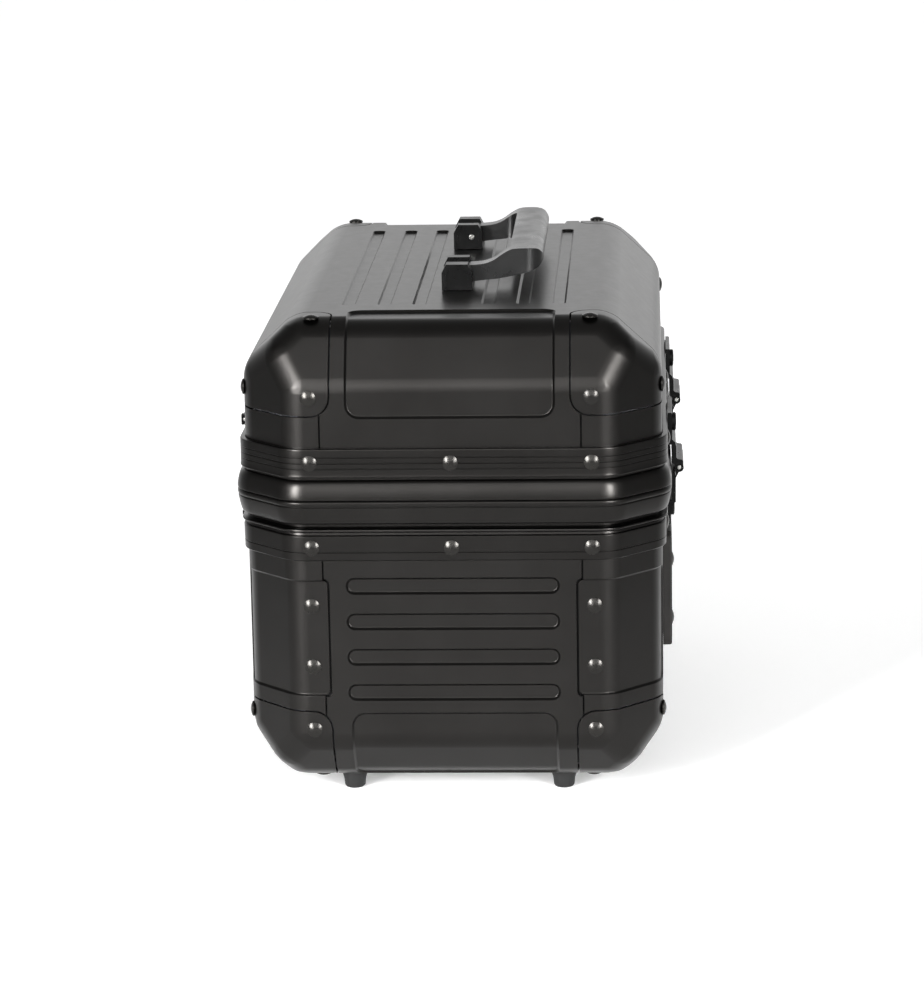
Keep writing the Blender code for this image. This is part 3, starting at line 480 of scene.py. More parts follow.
def anodised_aluminium(name, colour, roughness, grain, lengthwise=False):
    """Black anodised aluminium: a thin dyed oxide over metal that keeps the blasted or drawn surface below.

    It mirrors dimly from the front and brightly at a shallow angle, with a fine even grain.
    """
    material = bpy.data.materials.new(name)
    material.use_nodes = True
    tree = material.node_tree
    shader = tree.nodes["Principled BSDF"]
    shader.inputs["Metallic"].default_value = 1.0
    place = add_node(tree, "ShaderNodeTexCoord")
    stretch = (40 * grain, 40 * grain, 1.0) if lengthwise else (1.0, 1.0, 1.0)
    turned = add_node(tree, "ShaderNodeMapping", {"Scale": stretch}, Vector=place.outputs["Object"])
    fine = add_node(tree, "ShaderNodeTexNoise", {"Scale": 1 / grain, "Detail": 3.0, "Roughness": 0.6},
                    Vector=turned.outputs["Vector"])
    cloudy = add_node(tree, "ShaderNodeTexNoise", {"Scale": 22.0, "Detail": 4.0}, Vector=place.outputs["Object"])
    rubbed = add_node(tree, "ShaderNodeTexNoise", {"Scale": 130.0, "Detail": 6.0, "Roughness": 0.7},
                      Vector=place.outputs["Object"])
    dark, light = [linear_colour(code) for code in colour]
    tone = add_node(tree, "ShaderNodeValToRGB", Fac=cloudy.outputs["Fac"])
    tone.color_ramp.elements[0].position = 0.3
    tone.color_ramp.elements[0].color = dark
    tone.color_ramp.elements[1].position = 0.7
    tone.color_ramp.elements[1].color = light
    tree.links.new(tone.outputs["Color"], shader.inputs["Base Color"])
    sheen = add_node(tree, "ShaderNodeMapRange", {"From Min": 0.3, "From Max": 0.75, "To Min": roughness - 0.015,
                                                  "To Max": roughness + 0.02}, Value=rubbed.outputs["Fac"])
    tree.links.new(sheen.outputs["Result"], shader.inputs["Roughness"])
    bump = add_node(tree, "ShaderNodeBump", {"Strength": 0.10, "Distance": 0.00006}, Height=fine.outputs["Fac"])
    tree.links.new(bump.outputs["Normal"], shader.inputs["Normal"])
    return material


# Blasted with fine glass beads before anodising: about 0.4 mm between the hollows, shown a little coarser.
sheet_metal = anodised_aluminium("bead_blasted_black_anodised_aluminium", ("#282726", "#2c2b2a"), 0.33, 0.0006)

CAP_BACK = 0.141            # where the corner caps end, along the case
BODY_CAP_INNER = 0.0657     # inner edge of the caps on the end, from the middle
BODY_CAP_TOP = 0.0525
CAP_CORNER = 0.010


def cap_space(inner, low, high, side_x=1, side_y=1, grow=0.0):
    """The space that one corner cap takes, with rounded corners, grown to leave its joint open."""
    space = cube((side_x * (CAP_BACK - grow), side_y * (inner - grow), low - grow),
                 (side_x * BEYOND, side_y * BEYOND, high + grow))
    return bevel_all(space, CAP_CORNER + grow, 8)


BEAD_WIDTH = 0.114
BEAD_HEIGHT = 0.0100
BEAD_PITCH = 0.0195
BEAD_LOWEST = 0.0633
BEAD_DEPTH = 0.0015
FLANGE_LINE = 0.151         # where the end panels end under the body
PAN_WIDTH = 0.111
PAN_CORNER = 0.008
POST_PAD_LOW = 0.0608
POST_PAD_HIGH = 0.1258

body_solid = body_block()

end_tools = []
for row in range(4):
    bead_top = BEAD_LOWEST + row * BEAD_PITCH + BEAD_HEIGHT / 2
    wall_strip = folded(((HALF_LENGTH, bead_top), (HALF_LENGTH, 0.0)), (0, 2), 1)
    end_tools.append(press_tool(0.0, BEAD_WIDTH, BEAD_HEIGHT, BEAD_HEIGHT * 0.49, BEAD_DEPTH, 0.0019, wall_strip))
foot_strip = folded(((HALF_LENGTH, BODY_CAP_TOP), (HALF_LENGTH, BODY_FLOOR + BODY_END_SLOPE[0]),
                     (HALF_LENGTH - BODY_END_SLOPE[1], BODY_FLOOR), (0.1, BODY_FLOOR)), (0, 2), 1)
end_tools.append(press_tool(0.0, PAN_WIDTH, 0.0512, PAN_CORNER, BEAD_DEPTH, 0.0019, foot_strip))
end_panel = copy_piece(body_solid, "body_end_panel_sheet_right")
boolean(end_panel, join_pieces("end_tools", end_tools))
panel_space = cube((FLANGE_LINE, -END_PANEL_HALF + OPEN_JOINT, -BEYOND),
                   (BEYOND, END_PANEL_HALF - OPEN_JOINT, BODY_SHEET_TOP))
for side in (-1, 1):
    boolean(panel_space, cap_space(BODY_CAP_INNER, -BEYOND, BODY_CAP_TOP, 1, side, OPEN_JOINT))
    notch = cube((FLANGE_LINE - 0.01, side * (END_PANEL_HALF - 0.0038), POST_PAD_LOW),
                 (BEYOND, side * BEYOND, POST_PAD_HIGH))
    select_only(notch)
    bpy.ops.object.mode_set(mode="EDIT")
    bpy.ops.mesh.select_all(action="SELECT")
    bpy.ops.mesh.bevel(offset=0.0026, segments=4, profile=0.5, affect="EDGES", clamp_overlap=False)
    bpy.ops.object.mode_set(mode="OBJECT")
    boolean(panel_space, notch)
trimmed(end_panel, [panel_space], "INTERSECT")
sheet_finish(end_panel)
end_panel_left = mirror_copy(end_panel, "body_end_panel_sheet_left", 0)
smooth_finish(end_panel_left)
fit_piece(end_panel, sheet_metal, "anodised_aluminium", "case_body", "body_end_panel_right")
fit_piece(end_panel_left, sheet_metal, "anodised_aluminium", "case_body", "body_end_panel_left")

# Each corner post has a shallow pad that runs round its corner, with two rivets. Beside it the joint steps inwards:
# the post's edge widens and the panel's edge gives way to it.
POST_PAD_DEPTH = 0.0010
post_strip = folded(((0.1445, HALF_WIDTH), (HALF_LENGTH - CORNER_LEG, HALF_WIDTH),
                     (HALF_LENGTH, HALF_WIDTH - CORNER_LEG), (HALF_LENGTH, 0.0)), (0, 1), 2)
post_tool = press_tool((POST_PAD_LOW + POST_PAD_HIGH) / 2, POST_PAD_HIGH - POST_PAD_LOW, 0.074, 0.005,
                       POST_PAD_DEPTH, 0.0019, post_strip)
post_tools = [post_tool, mirror_copy(post_tool, "post", 0), mirror_copy(post_tool, "post", 1)]
post_tools.append(mirror_copy(post_tools[1], "post", 1))
wrap_sheet = copy_piece(body_solid, "body_wrap_sheet_metal")
boolean(wrap_sheet, join_pieces("post_tools", post_tools))
wrap_cuts = [cube((-BEYOND, -BEYOND, BODY_SHEET_TOP), (BEYOND, BEYOND, BEYOND + 0.2))]
for side in (-1, 1):
    opening = cube((side * (FLANGE_LINE - OPEN_JOINT), -END_PANEL_HALF, -BEYOND),
                   (side * BEYOND, END_PANEL_HALF, BEYOND))
    for other in (-1, 1):
        tab = cube((side * (HALF_LENGTH - 0.012), other * (END_PANEL_HALF - 0.0026), POST_PAD_LOW + 0.0012),
                   (side * BEYOND, other * BEYOND, POST_PAD_HIGH - 0.0012))
        boolean(opening, bevel_all(tab, 0.0024, 4))
    wrap_cuts.append(opening)
    for other in (-1, 1):
        wrap_cuts.append(cap_space(BODY_CAP_INNER, -BEYOND, BODY_CAP_TOP, side, other, OPEN_JOINT))
trimmed(wrap_sheet, wrap_cuts)
sheet_finish(wrap_sheet)
fit_piece(wrap_sheet, sheet_metal, "anodised_aluminium", "case_body", "body_wrap_sheet")


# ---------------------------------------------------------------- body corner caps
# Deep-drawn caps of the same sheet close the lower corners. Each sits in its own open joint and is held
# by three domed rivets, on the end, on the long wall and underneath.

body_cap = trimmed(copy_piece(body_solid, "body_corner_cap_sheet_rear_right"),
                   [cap_space(BODY_CAP_INNER, -BEYOND, BODY_CAP_TOP)], "INTERSECT")
sheet_finish(body_cap)
body_caps = {"rear_right": body_cap}
body_caps["rear_left"] = mirror_copy(body_cap, "body_corner_cap_sheet_rear_left", 0)
body_caps["front_right"] = mirror_copy(body_cap, "body_corner_cap_sheet_front_right", 1)
body_caps["front_left"] = mirror_copy(body_caps["rear_left"], "body_corner_cap_sheet_front_left", 1)
for word, piece in body_caps.items():
    if word != "rear_right":
        smooth_finish(piece)
    fit_piece(piece, sheet_metal, "anodised_aluminium", "case_body", "body_corner_cap_" + word)
bpy.data.objects.remove(body_solid, do_unlink=True)


# ---------------------------------------------------------------- rivets of the body
# Solid aluminium rivets with low domed heads, anodised black and a little shinier than the sheet. One head
# is modelled and copied to every place.

RIVET_RADIUS = 0.00415
RIVET_HEIGHT = 0.0017
RIVET_DOME = (0.10, 0.24, 0.42, 0.64, 0.90)      # shares of the radius where the dome's rings lie

rivet_metal = anodised_aluminium("polished_black_anodised_rivet", ("#2e2d2c", "#343331"), 0.27, 0.0005)


def rivet_head():
    deselect_all()
    lip = RIVET_HEIGHT * 0.30
    bpy.ops.mesh.primitive_cylinder_add(vertices=32, radius=RIVET_RADIUS, depth=lip + 0.0004,
                                        location=(0, 0, (lip - 0.0004) / 2))
    head = bpy.context.object
    bpy.ops.object.transform_apply(location=True, rotation=True, scale=True)
    bpy.ops.object.mode_set(mode="EDIT")
    bpy.ops.mesh.select_mode(type="FACE")
    bpy.ops.object.mode_set(mode="OBJECT")
    for face in head.data.polygons:
        face.select = face.normal.z > 0.9
    bpy.ops.object.mode_set(mode="EDIT")
    reached, height = 0.0, 0.0
    for share in RIVET_DOME:
        rise = (RIVET_HEIGHT - lip) * (1 - (1 - share) ** 2)
        bpy.ops.mesh.inset(thickness=RIVET_RADIUS * (share - reached), depth=rise - height)
        reached, height = share, rise
    bpy.ops.mesh.select_mode(type="VERT")
    bpy.ops.object.mode_set(mode="OBJECT")
    return head


rivet_model = rivet_head()


def rivet_row(name, places, body, sink=0.0):
    """Copies of the rivet head, each standing on a point and facing along a direction."""
    heads = []
    for place, direction in places:
        head = copy_piece(rivet_model, name)
        turn = Vector(direction).normalized().to_track_quat("Z", "Y").to_matrix().to_4x4()
        head.data.transform(Matrix.Translation(Vector(place) - Vector(direction).normalized() * sink) @ turn)
        heads.append(head)
    row = join_pieces(name, heads)
    smooth_finish(row, 60)
    return fit_piece(row, rivet_metal, "anodised_aluminium", body)


def four_corners(x, y, z, direction):
    return [((sx * x, sy * y, z), (sx * direction[0], sy * direction[1], direction[2]))
            for sx in (-1, 1) for sy in (-1, 1)]


rivet_row("body_post_rivets", four_corners(HALF_LENGTH - POST_PAD_DEPTH, 0.075, 0.0774, (1, 0, 0))
          + four_corners(HALF_LENGTH - POST_PAD_DEPTH, 0.075, 0.1107, (1, 0, 0)), "case_body")
rivet_row("body_cap_rivets", four_corners(HALF_LENGTH, 0.075, 0.0428, (1, 0, 0))
          + four_corners(HALF_LENGTH - 0.0325, HALF_WIDTH, 0.0450, (0, 1, 0))
          + four_corners(HALF_LENGTH - 0.0295, 0.0734, BODY_FLOOR, (0, 0, -1)), "case_body")


# ---------------------------------------------------------------- frames at the seam
# Two extruded aluminium rings meet at the seam. Each has a flat riveted band with fine drawn lines, a
# deep groove, and a bulge over the seam. The body's ring ends in a light strip and a sealing tongue.

SEAM = 0.169
BODY_BAND = 0.0021          # how far the riveted bands stand off the sheet
LID_BAND = 0.0029
BULGE = 0.0050
BODY_FRAME_PROFILE = (
    (0.0003, 0.1361), (0.0014, 0.1361), (0.0019, 0.1366),
    (0.0020, 0.1404), (0.0017, 0.1406), (0.0017, 0.1409), (0.0020, 0.1411),
    (BODY_BAND, 0.1488), (0.0020, 0.1495), (0.0015, 0.1499), (0.0008, 0.1500), (0.0006, 0.1511),
    (0.0009, 0.1517), (0.0020, 0.1518), (0.0026, 0.1521), (0.0028, 0.1526), (0.0026, 0.1531),
    (0.0019, 0.1534), (0.0002, 0.1536), (-0.0016, 0.1540), (-0.0016, 0.1557), (0.0014, 0.1560), (0.0020, 0.1562),
    (0.0025, 0.1567), (0.0031, 0.1577), (0.0037, 0.1598), (0.0042, 0.1620), (0.0046, 0.1641),
    (0.0047, 0.1653), (0.0044, 0.1657), (0.0044, 0.1660), (0.0048, 0.1664),
    (BULGE, 0.1670), (BULGE, 0.1680), (0.0048, 0.1684), (0.0044, 0.16885),
    (-0.0012, 0.16885), (-0.0012, 0.1706), (-0.0014, 0.1709), (-0.0024, 0.1709), (-0.0026, 0.1706),
    (-0.0026, 0.16885), (-0.0044, 0.16885), (-0.0048, 0.1684), (-0.0048, 0.1510), (-0.0044, 0.1506),
    (0.0003, 0.1506),
)
LID_FRAME_PROFILE = (
    (0.0003, 0.1823), (0.0003, 0.1966), (0.0022, 0.1966), (0.0027, 0.1964), (LID_BAND, 0.1959),
    (LID_BAND, 0.1925), (0.0027, 0.1923), (0.0027, 0.1920), (LID_BAND, 0.1918),
    (LID_BAND, 0.1895), (0.0026, 0.1893), (0.0026, 0.1889), (LID_BAND, 0.1887),
    (LID_BAND, 0.1864), (0.0027, 0.1862), (0.0027, 0.1859), (LID_BAND, 0.1857),
    (LID_BAND, 0.1828), (0.0031, 0.1824), (0.0031, 0.1817), (0.0028, 0.1812), (0.0015, 0.1810),
    (0.0010, 0.1807), (0.0010, 0.1799), (0.0018, 0.1796), (0.0026, 0.1790), (0.0033, 0.1779),
    (0.0039, 0.1763), (0.0044, 0.1744), (0.0048, 0.1722), (BULGE, 0.1702), (0.0049, 0.1696), (0.0045, 0.16915),
    (-0.0009, 0.16915), (-0.0009, 0.1760), (-0.0034, 0.1760), (-0.0034, 0.16915),
    (-0.0044, 0.16915), (-0.0048, 0.1696), (-0.0048, 0.1819), (-0.0044, 0.1823),
)
FRAME_BEND_STEPS = 8


def frame_path():
    """The line along the sheet's outer face, with fine steps on each of the eight bends."""
    leg = CORNER_LEG - BEND_RADIUS * (2 - math.sqrt(2))
    reach_x = HALF_LENGTH - BEND_RADIUS
    reach_y = HALF_WIDTH - BEND_RADIUS
    points = []
    for sx, sy, first in ((1, -1, -90), (1, 1, 0), (-1, 1, 90), (-1, -1, 180)):
        by_side = (sx * (reach_x - leg), sy * reach_y)
        by_end = (sx * reach_x, sy * (reach_y - leg))
        centres = (by_side, by_end) if sx * sy < 0 else (by_end, by_side)
        for number, (x, y) in enumerate(centres):
            for step in range(FRAME_BEND_STEPS + 1):
                angle = math.radians(first + 45 * number + 45 * step / FRAME_BEND_STEPS)
                points.append((x + BEND_RADIUS * math.cos(angle), y + BEND_RADIUS * math.sin(angle)))
    return points


def flat_curve(name, points):
    """A closed curve through flat points."""
    curve = bpy.data.curves.new(name, "CURVE")
    spline = curve.splines.new("POLY")
    spline.points.add(len(points) - 1)
    for place, (x, y) in zip(spline.points, points):
        place.co = (x, y, 0, 1)
    spline.use_cyclic_u = True
    line = bpy.data.objects.new(name, curve)
    scene.collection.objects.link(line)
    return line


def swept_ring(name, profile):
    """A profile of (outwards, up) points, drawn round the case as an extruded frame is bent round it."""
    section = flat_curve("section", profile)
    section.data.dimensions = "2D"
    ring = flat_curve(name, frame_path())
    ring.data.dimensions = "3D"
    ring.data.twist_mode = "Z_UP"
    ring.data.bevel_mode = "OBJECT"
    ring.data.bevel_object = section
    select_only(ring)
    bpy.ops.object.convert(target="MESH")
    bpy.data.objects.remove(section, do_unlink=True)
    ring = bpy.context.object
    bpy.ops.object.mode_set(mode="EDIT")
    bpy.ops.mesh.select_all(action="SELECT")
    bpy.ops.mesh.remove_doubles(threshold=0.00001)
    bpy.ops.mesh.normals_make_consistent(inside=False)
    bpy.ops.object.mode_set(mode="OBJECT")
    return ring


# Drawn through a die, so the surface has fine lines along the profile: about 0.15 mm apart, shown at 0.3 mm.
frame_metal = anodised_aluminium("drawn_black_anodised_aluminium", ("#262524", "#2b2a29"), 0.30, 0.0003, True)

body_ring = smooth_finish(swept_ring("body_frame_extrusion", BODY_FRAME_PROFILE), 28)
fit_piece(body_ring, frame_metal, "anodised_aluminium", "case_body", "body_frame")
lid_ring = smooth_finish(swept_ring("lid_frame_extrusion", LID_FRAME_PROFILE), 28)
fit_piece(lid_ring, frame_metal, "anodised_aluminium", "lid", "lid_frame")


def band_rivets(height, proud):
    places = []
    for y in (-0.074, 0.0, 0.074):
        places += [((side * (HALF_LENGTH + proud), y, height), (side, 0, 0)) for side in (-1, 1)]
    for x in (-0.125, -0.035, 0.0, 0.035, 0.125):
        places += [((x, side * (HALF_WIDTH + proud), height), (0, side, 0)) for side in (-1, 1)]
    return places


rivet_row("body_band_rivets", band_rivets(0.1432, BODY_BAND), "case_body", 0.0001)
rivet_row("lid_band_rivets", band_rivets(0.1892, LID_BAND), "lid", 0.0001)

# The seal is a hollow rubber cord in the lid frame's groove; the body frame's tongue presses into it.
SEAL_PROFILE = ((-0.0031, 0.1712), (-0.0026, 0.1709), (-0.0017, 0.1709), (-0.0012, 0.1712), (-0.0012, 0.1752),
                (-0.0015, 0.1757), (-0.0028, 0.1757), (-0.0031, 0.1752))


# ---------------------------------------------------------------- lid sheets
# The lid is one sheet over the long walls and the roof, with end walls folded down. It has three pairs of
# pressed channels on the roof and a wide pressed pan that runs over each end's shoulder.

LID_SHEET_BOTTOM = 0.1826
LID_END_SLOPE = (0.032, 0.018)
LID_SIDE_SLOPE = (0.0255, 0.0275)
LID_CAP_INNER = 0.0635
LID_CAP_BOTTOM = 0.214
LID_PAN_BOTTOM = 0.2124
CHANNEL_PLACES = (0.0184, 0.0372, 0.0564)
CHANNEL_WIDTH = 0.0082
CHANNEL_REACH = 0.122

lid_solid = bent_block("lid_block", (-HALF_LENGTH, -HALF_WIDTH, 0.0), (HALF_LENGTH, HALF_WIDTH, LID_ROOF),
                       case_planes(LID_ROOF, 1, LID_END_SLOPE, LID_SIDE_SLOPE))
roof_strip = folded(((-CHANNEL_REACH, LID_ROOF), (CHANNEL_REACH, LID_ROOF)), (0, 2), 1)
lid_tools = []
for place in CHANNEL_PLACES:
    for side in (-1, 1):
        lid_tools.append(press_tool(side * place, CHANNEL_WIDTH, 2 * CHANNEL_REACH, 0.0035, 0.0014, 0.0016,
                                    roof_strip))
shoulder_strip = folded(((0.136, LID_ROOF), (HALF_LENGTH - LID_END_SLOPE[1], LID_ROOF),
                         (HALF_LENGTH, LID_ROOF - LID_END_SLOPE[0]), (HALF_LENGTH, 0.1)), (0, 2), 1)
lid_pan = press_tool(0.0, PAN_WIDTH, 0.0787, PAN_CORNER, BEAD_DEPTH, 0.0019, shoulder_strip)
lid_tools += [lid_pan, mirror_copy(lid_pan, "lid_pan_left", 0)]
lid_sheet = copy_piece(lid_solid, "lid_sheet_metal")
boolean(lid_sheet, join_pieces("lid_tools", lid_tools))
lid_cuts = [cube((-BEYOND, -BEYOND, -BEYOND), (BEYOND, BEYOND, LID_SHEET_BOTTOM))]
for side in (-1, 1):
    for other in (-1, 1):
        lid_cuts.append(cap_space(LID_CAP_INNER, LID_CAP_BOTTOM, BEYOND, side, other, OPEN_JOINT))
        lid_cuts.append(cube((side * (HALF_LENGTH - 0.02), other * END_PANEL_HALF, 0.1),
                             (side * BEYOND, other * (END_PANEL_HALF - OPEN_JOINT), LID_CAP_BOTTOM + CAP_CORNER)))
trimmed(lid_sheet, lid_cuts)
sheet_finish(lid_sheet)
fit_piece(lid_sheet, sheet_metal, "anodised_aluminium", "lid", "lid_skin")

# Lid corner caps, drawn and riveted like the body's.
lid_cap = trimmed(copy_piece(lid_solid, "lid_corner_cap_sheet_rear_right"),
                  [cap_space(LID_CAP_INNER, LID_CAP_BOTTOM, BEYOND)], "INTERSECT")
sheet_finish(lid_cap)
lid_caps = {"rear_right": lid_cap}
lid_caps["rear_left"] = mirror_copy(lid_cap, "lid_corner_cap_sheet_rear_left", 0)
lid_caps["front_right"] = mirror_copy(lid_cap, "lid_corner_cap_sheet_front_right", 1)
lid_caps["front_left"] = mirror_copy(lid_caps["rear_left"], "lid_corner_cap_sheet_front_left", 1)
for word, piece in lid_caps.items():
    if word != "rear_right":
        smooth_finish(piece)
    fit_piece(piece, sheet_metal, "anodised_aluminium", "lid", "lid_corner_cap_" + word)
bpy.data.objects.remove(lid_solid, do_unlink=True)
rivet_row("lid_cap_rivets", four_corners(HALF_LENGTH - 0.023, 0.0734, LID_ROOF, (0, 0, 1))
          + four_corners(HALF_LENGTH, 0.074, 0.2235, (1, 0, 0))
          + four_corners(HALF_LENGTH - 0.0325, HALF_WIDTH, 0.2235, (0, 1, 0)), "lid")


# ---------------------------------------------------------------- handle and its brackets
# A U-shaped handle of moulded black nylon lies folded to the rear. Its arms rise to a flat broad grip and
# turn on steel pins in two cast brackets, each with a slot for the arm between two trapezoid ears.

PIN_Y = 0.002
PIN_Z = 0.2694
ROOF_GAP = 0.0003


def smooth_outline(points, rounds=2):
    """Rounds an outline by cutting its corners again and again."""
    for _ in range(rounds):
        cut = []
        for here, after in zip(points, points[1:] + points[:1]):
            cut.append((0.78 * here[0] + 0.22 * after[0], 0.78 * here[1] + 0.22 * after[1]))
            cut.append((0.22 * here[0] + 0.78 * after[0], 0.22 * here[1] + 0.78 * after[1]))
        points = cut
    return points


def prism(name, points, low, high):
    """A flat (y, z) outline, given its width along the case from one x to another."""
    line = flat_curve(name, points)
    line.data.dimensions = "2D"
    line.data.fill_mode = "BOTH"
    line.data.extrude = abs(high - low) / 2
    select_only(line)
    bpy.ops.object.convert(target="MESH")
    made = bpy.context.object
    made.data.transform(Matrix(((0, 0, 1, (low + high) / 2), (1, 0, 0, 0), (0, 1, 0, 0), (0, 0, 0, 1))))
    select_only(made)
    bpy.ops.object.mode_set(mode="EDIT")
    bpy.ops.mesh.select_all(action="SELECT")
    bpy.ops.mesh.remove_doubles(threshold=0.00001)
    bpy.ops.mesh.normals_make_consistent(inside=False)
    bpy.ops.object.mode_set(mode="OBJECT")
    return made


def soft_edges(piece, width, segments=3, angle=40):
    """Rounds the edges of a moulded or cast piece."""
    edges = piece.modifiers.new("edges", "BEVEL")
    edges.limit_method = "ANGLE"
    edges.angle_limit = math.radians(angle)
    edges.width = width
    edges.segments = segments
    edges.use_clamp_overlap = True
    apply_modifiers(piece)
    return piece


def bevel_edges(piece, chosen, width, segments):
    """Rounds only the edges for which chosen(first end, second end) holds."""
    select_only(piece)
    bpy.ops.object.mode_set(mode="EDIT")
    bpy.ops.mesh.select_mode(type="EDGE")
    bpy.ops.mesh.select_all(action="DESELECT")
    bpy.ops.object.mode_set(mode="OBJECT")
    for edge in piece.data.edges:
        edge.select = chosen(*[piece.data.vertices[i].co for i in edge.vertices])
    bpy.ops.object.mode_set(mode="EDIT")
    bpy.ops.mesh.bevel(offset=width, segments=segments, profile=0.5, affect="EDGES", clamp_overlap=False)
    bpy.ops.mesh.select_mode(type="VERT")
    bpy.ops.object.mode_set(mode="OBJECT")
    return piece


def rod(name, start, direction, length, radius, sides=32):
    """A round bar from a point along a direction."""
    direction = Vector(direction)
    deselect_all()
    bpy.ops.mesh.primitive_cylinder_add(vertices=sides, radius=radius, depth=length,
                                        location=Vector(start) + direction * length / 2,
                                        rotation=direction.to_track_quat("Z", "Y").to_euler())
    bar = bpy.context.object
    bar.name = name
    bpy.ops.object.transform_apply(location=True, rotation=True, scale=True)
    return bar


def moulded_plastic(name, colour, roughness, grain, shine=0.5):
    """Moulded or painted black with a fine leathery grain that softens the highlight."""
    material = bpy.data.materials.new(name)
    material.use_nodes = True
    tree = material.node_tree
    shader = tree.nodes["Principled BSDF"]
    shader.inputs["IOR"].default_value = 1.52
    shader.inputs["Specular IOR Level"].default_value = shine
    place = add_node(tree, "ShaderNodeTexCoord")
    cells = add_node(tree, "ShaderNodeTexVoronoi", {"Scale": 1 / grain}, Vector=place.outputs["Object"])
    cloudy = add_node(tree, "ShaderNodeTexNoise", {"Scale": 90.0, "Detail": 5.0}, Vector=place.outputs["Object"])
    dark, light = [linear_colour(code) for code in colour]
    tone = add_node(tree, "ShaderNodeValToRGB", Fac=cloudy.outputs["Fac"])
    tone.color_ramp.elements[0].position = 0.35
    tone.color_ramp.elements[0].color = dark
    tone.color_ramp.elements[1].position = 0.7
    tone.color_ramp.elements[1].color = light
    tree.links.new(tone.outputs["Color"], shader.inputs["Base Color"])
    sheen = add_node(tree, "ShaderNodeMapRange", {"From Min": 0.3, "From Max": 0.7, "To Min": roughness - 0.04,
                                                  "To Max": roughness + 0.05}, Value=cloudy.outputs["Fac"])
    tree.links.new(sheen.outputs["Result"], shader.inputs["Roughness"])
    bump = add_node(tree, "ShaderNodeBump", {"Strength": 0.18, "Distance": 0.00005},
                    Height=cells.outputs["Distance"])
    tree.links.new(bump.outputs["Normal"], shader.inputs["Normal"])
    return material


def steel(name, colour, roughness):
    """Plain steel, turned: bright metal with fine rings left by the tool."""
    material = bpy.data.materials.new(name)
    material.use_nodes = True
    tree = material.node_tree
    shader = tree.nodes["Principled BSDF"]
    shader.inputs["Metallic"].default_value = 1.0
    shader.inputs["Base Color"].default_value = linear_colour(colour)
    place = add_node(tree, "ShaderNodeTexCoord")
    rings = add_node(tree, "ShaderNodeTexWave", {"bands_direction": "X", "Scale": 900.0, "Distortion": 2.0},
                     Vector=place.outputs["Object"])
    sheen = add_node(tree, "ShaderNodeMapRange", {"To Min": roughness - 0.05, "To Max": roughness + 0.05},
                     Value=rings.outputs["Fac"])
    tree.links.new(sheen.outputs["Result"], shader.inputs["Roughness"])
    return material


pin_metal = steel("turned_steel_pin", "#b4b4b0", 0.28)

# Glass-filled nylon, moulded in one piece: satin black, its spark-eroded grain about 0.4 mm.
handle_nylon = moulded_plastic("moulded_black_nylon", ("#080808", "#0c0c0c"), 0.30, 0.0005, 0.38)
# Die-cast zinc under black powder paint: 0.5 mm orange peel, a slight gloss.
cast_zinc = moulded_plastic("powder_painted_black_zinc", ("#050505", "#080808"), 0.30, 0.0006, 0.12)

HANDLE_OUTLINE = [
    (0.0020, 0.2745), (-0.0014, 0.2733), (-0.0031, 0.2705), (-0.0028, 0.2672), (-0.0006, 0.2648),
    (0.0030, 0.2643), (0.0075, 0.2653), (0.0140, 0.2662), (0.0215, 0.2668), (0.0300, 0.2683), (0.0375, 0.2700),
    (0.0440, 0.2722), (0.0468, 0.2760), (0.0468, 0.2795), (0.0442, 0.2828), (0.0400, 0.2835), (0.0330, 0.2835),
    (0.0290, 0.2830), (0.0245, 0.2805), (0.0200, 0.2772), (0.0150, 0.2752), (0.0090, 0.2746),
]
HANDLE_REACH = 0.0719
ARM_INNER = 0.0606
handle = prism("handle_moulding", smooth_outline(HANDLE_OUTLINE), -HANDLE_REACH, HANDLE_REACH)
plan_block = cube((-HANDLE_REACH, -0.06, 0.2), (HANDLE_REACH, 0.04695, 0.3))
bevel_edges(plan_block, lambda a, b: min(a.y, b.y) > 0.04 and abs(a.z - b.z) > 0.05, 0.011, 10)
plan_block.data.transform(Matrix.Diagonal((0.9998, 1, 1, 1)))
boolean(handle, plan_block, "INTERSECT")
opening = cube((-ARM_INNER, -0.1, 0.2), (ARM_INNER, 0.0285, 0.3))
bevel_all(opening, 0.006, 6)
boolean(handle, opening)
for side in (-1, 1):
    boolean(handle, rod("bore", (side * (ARM_INNER - 0.002), PIN_Y, PIN_Z), (side, 0, 0), 0.016, 0.0018, 24))
soft_edges(handle, 0.0010, 3, 42)
smooth_finish(handle, 50)
fit_piece(handle, handle_nylon, "handle_plastic", "handle", "handle")

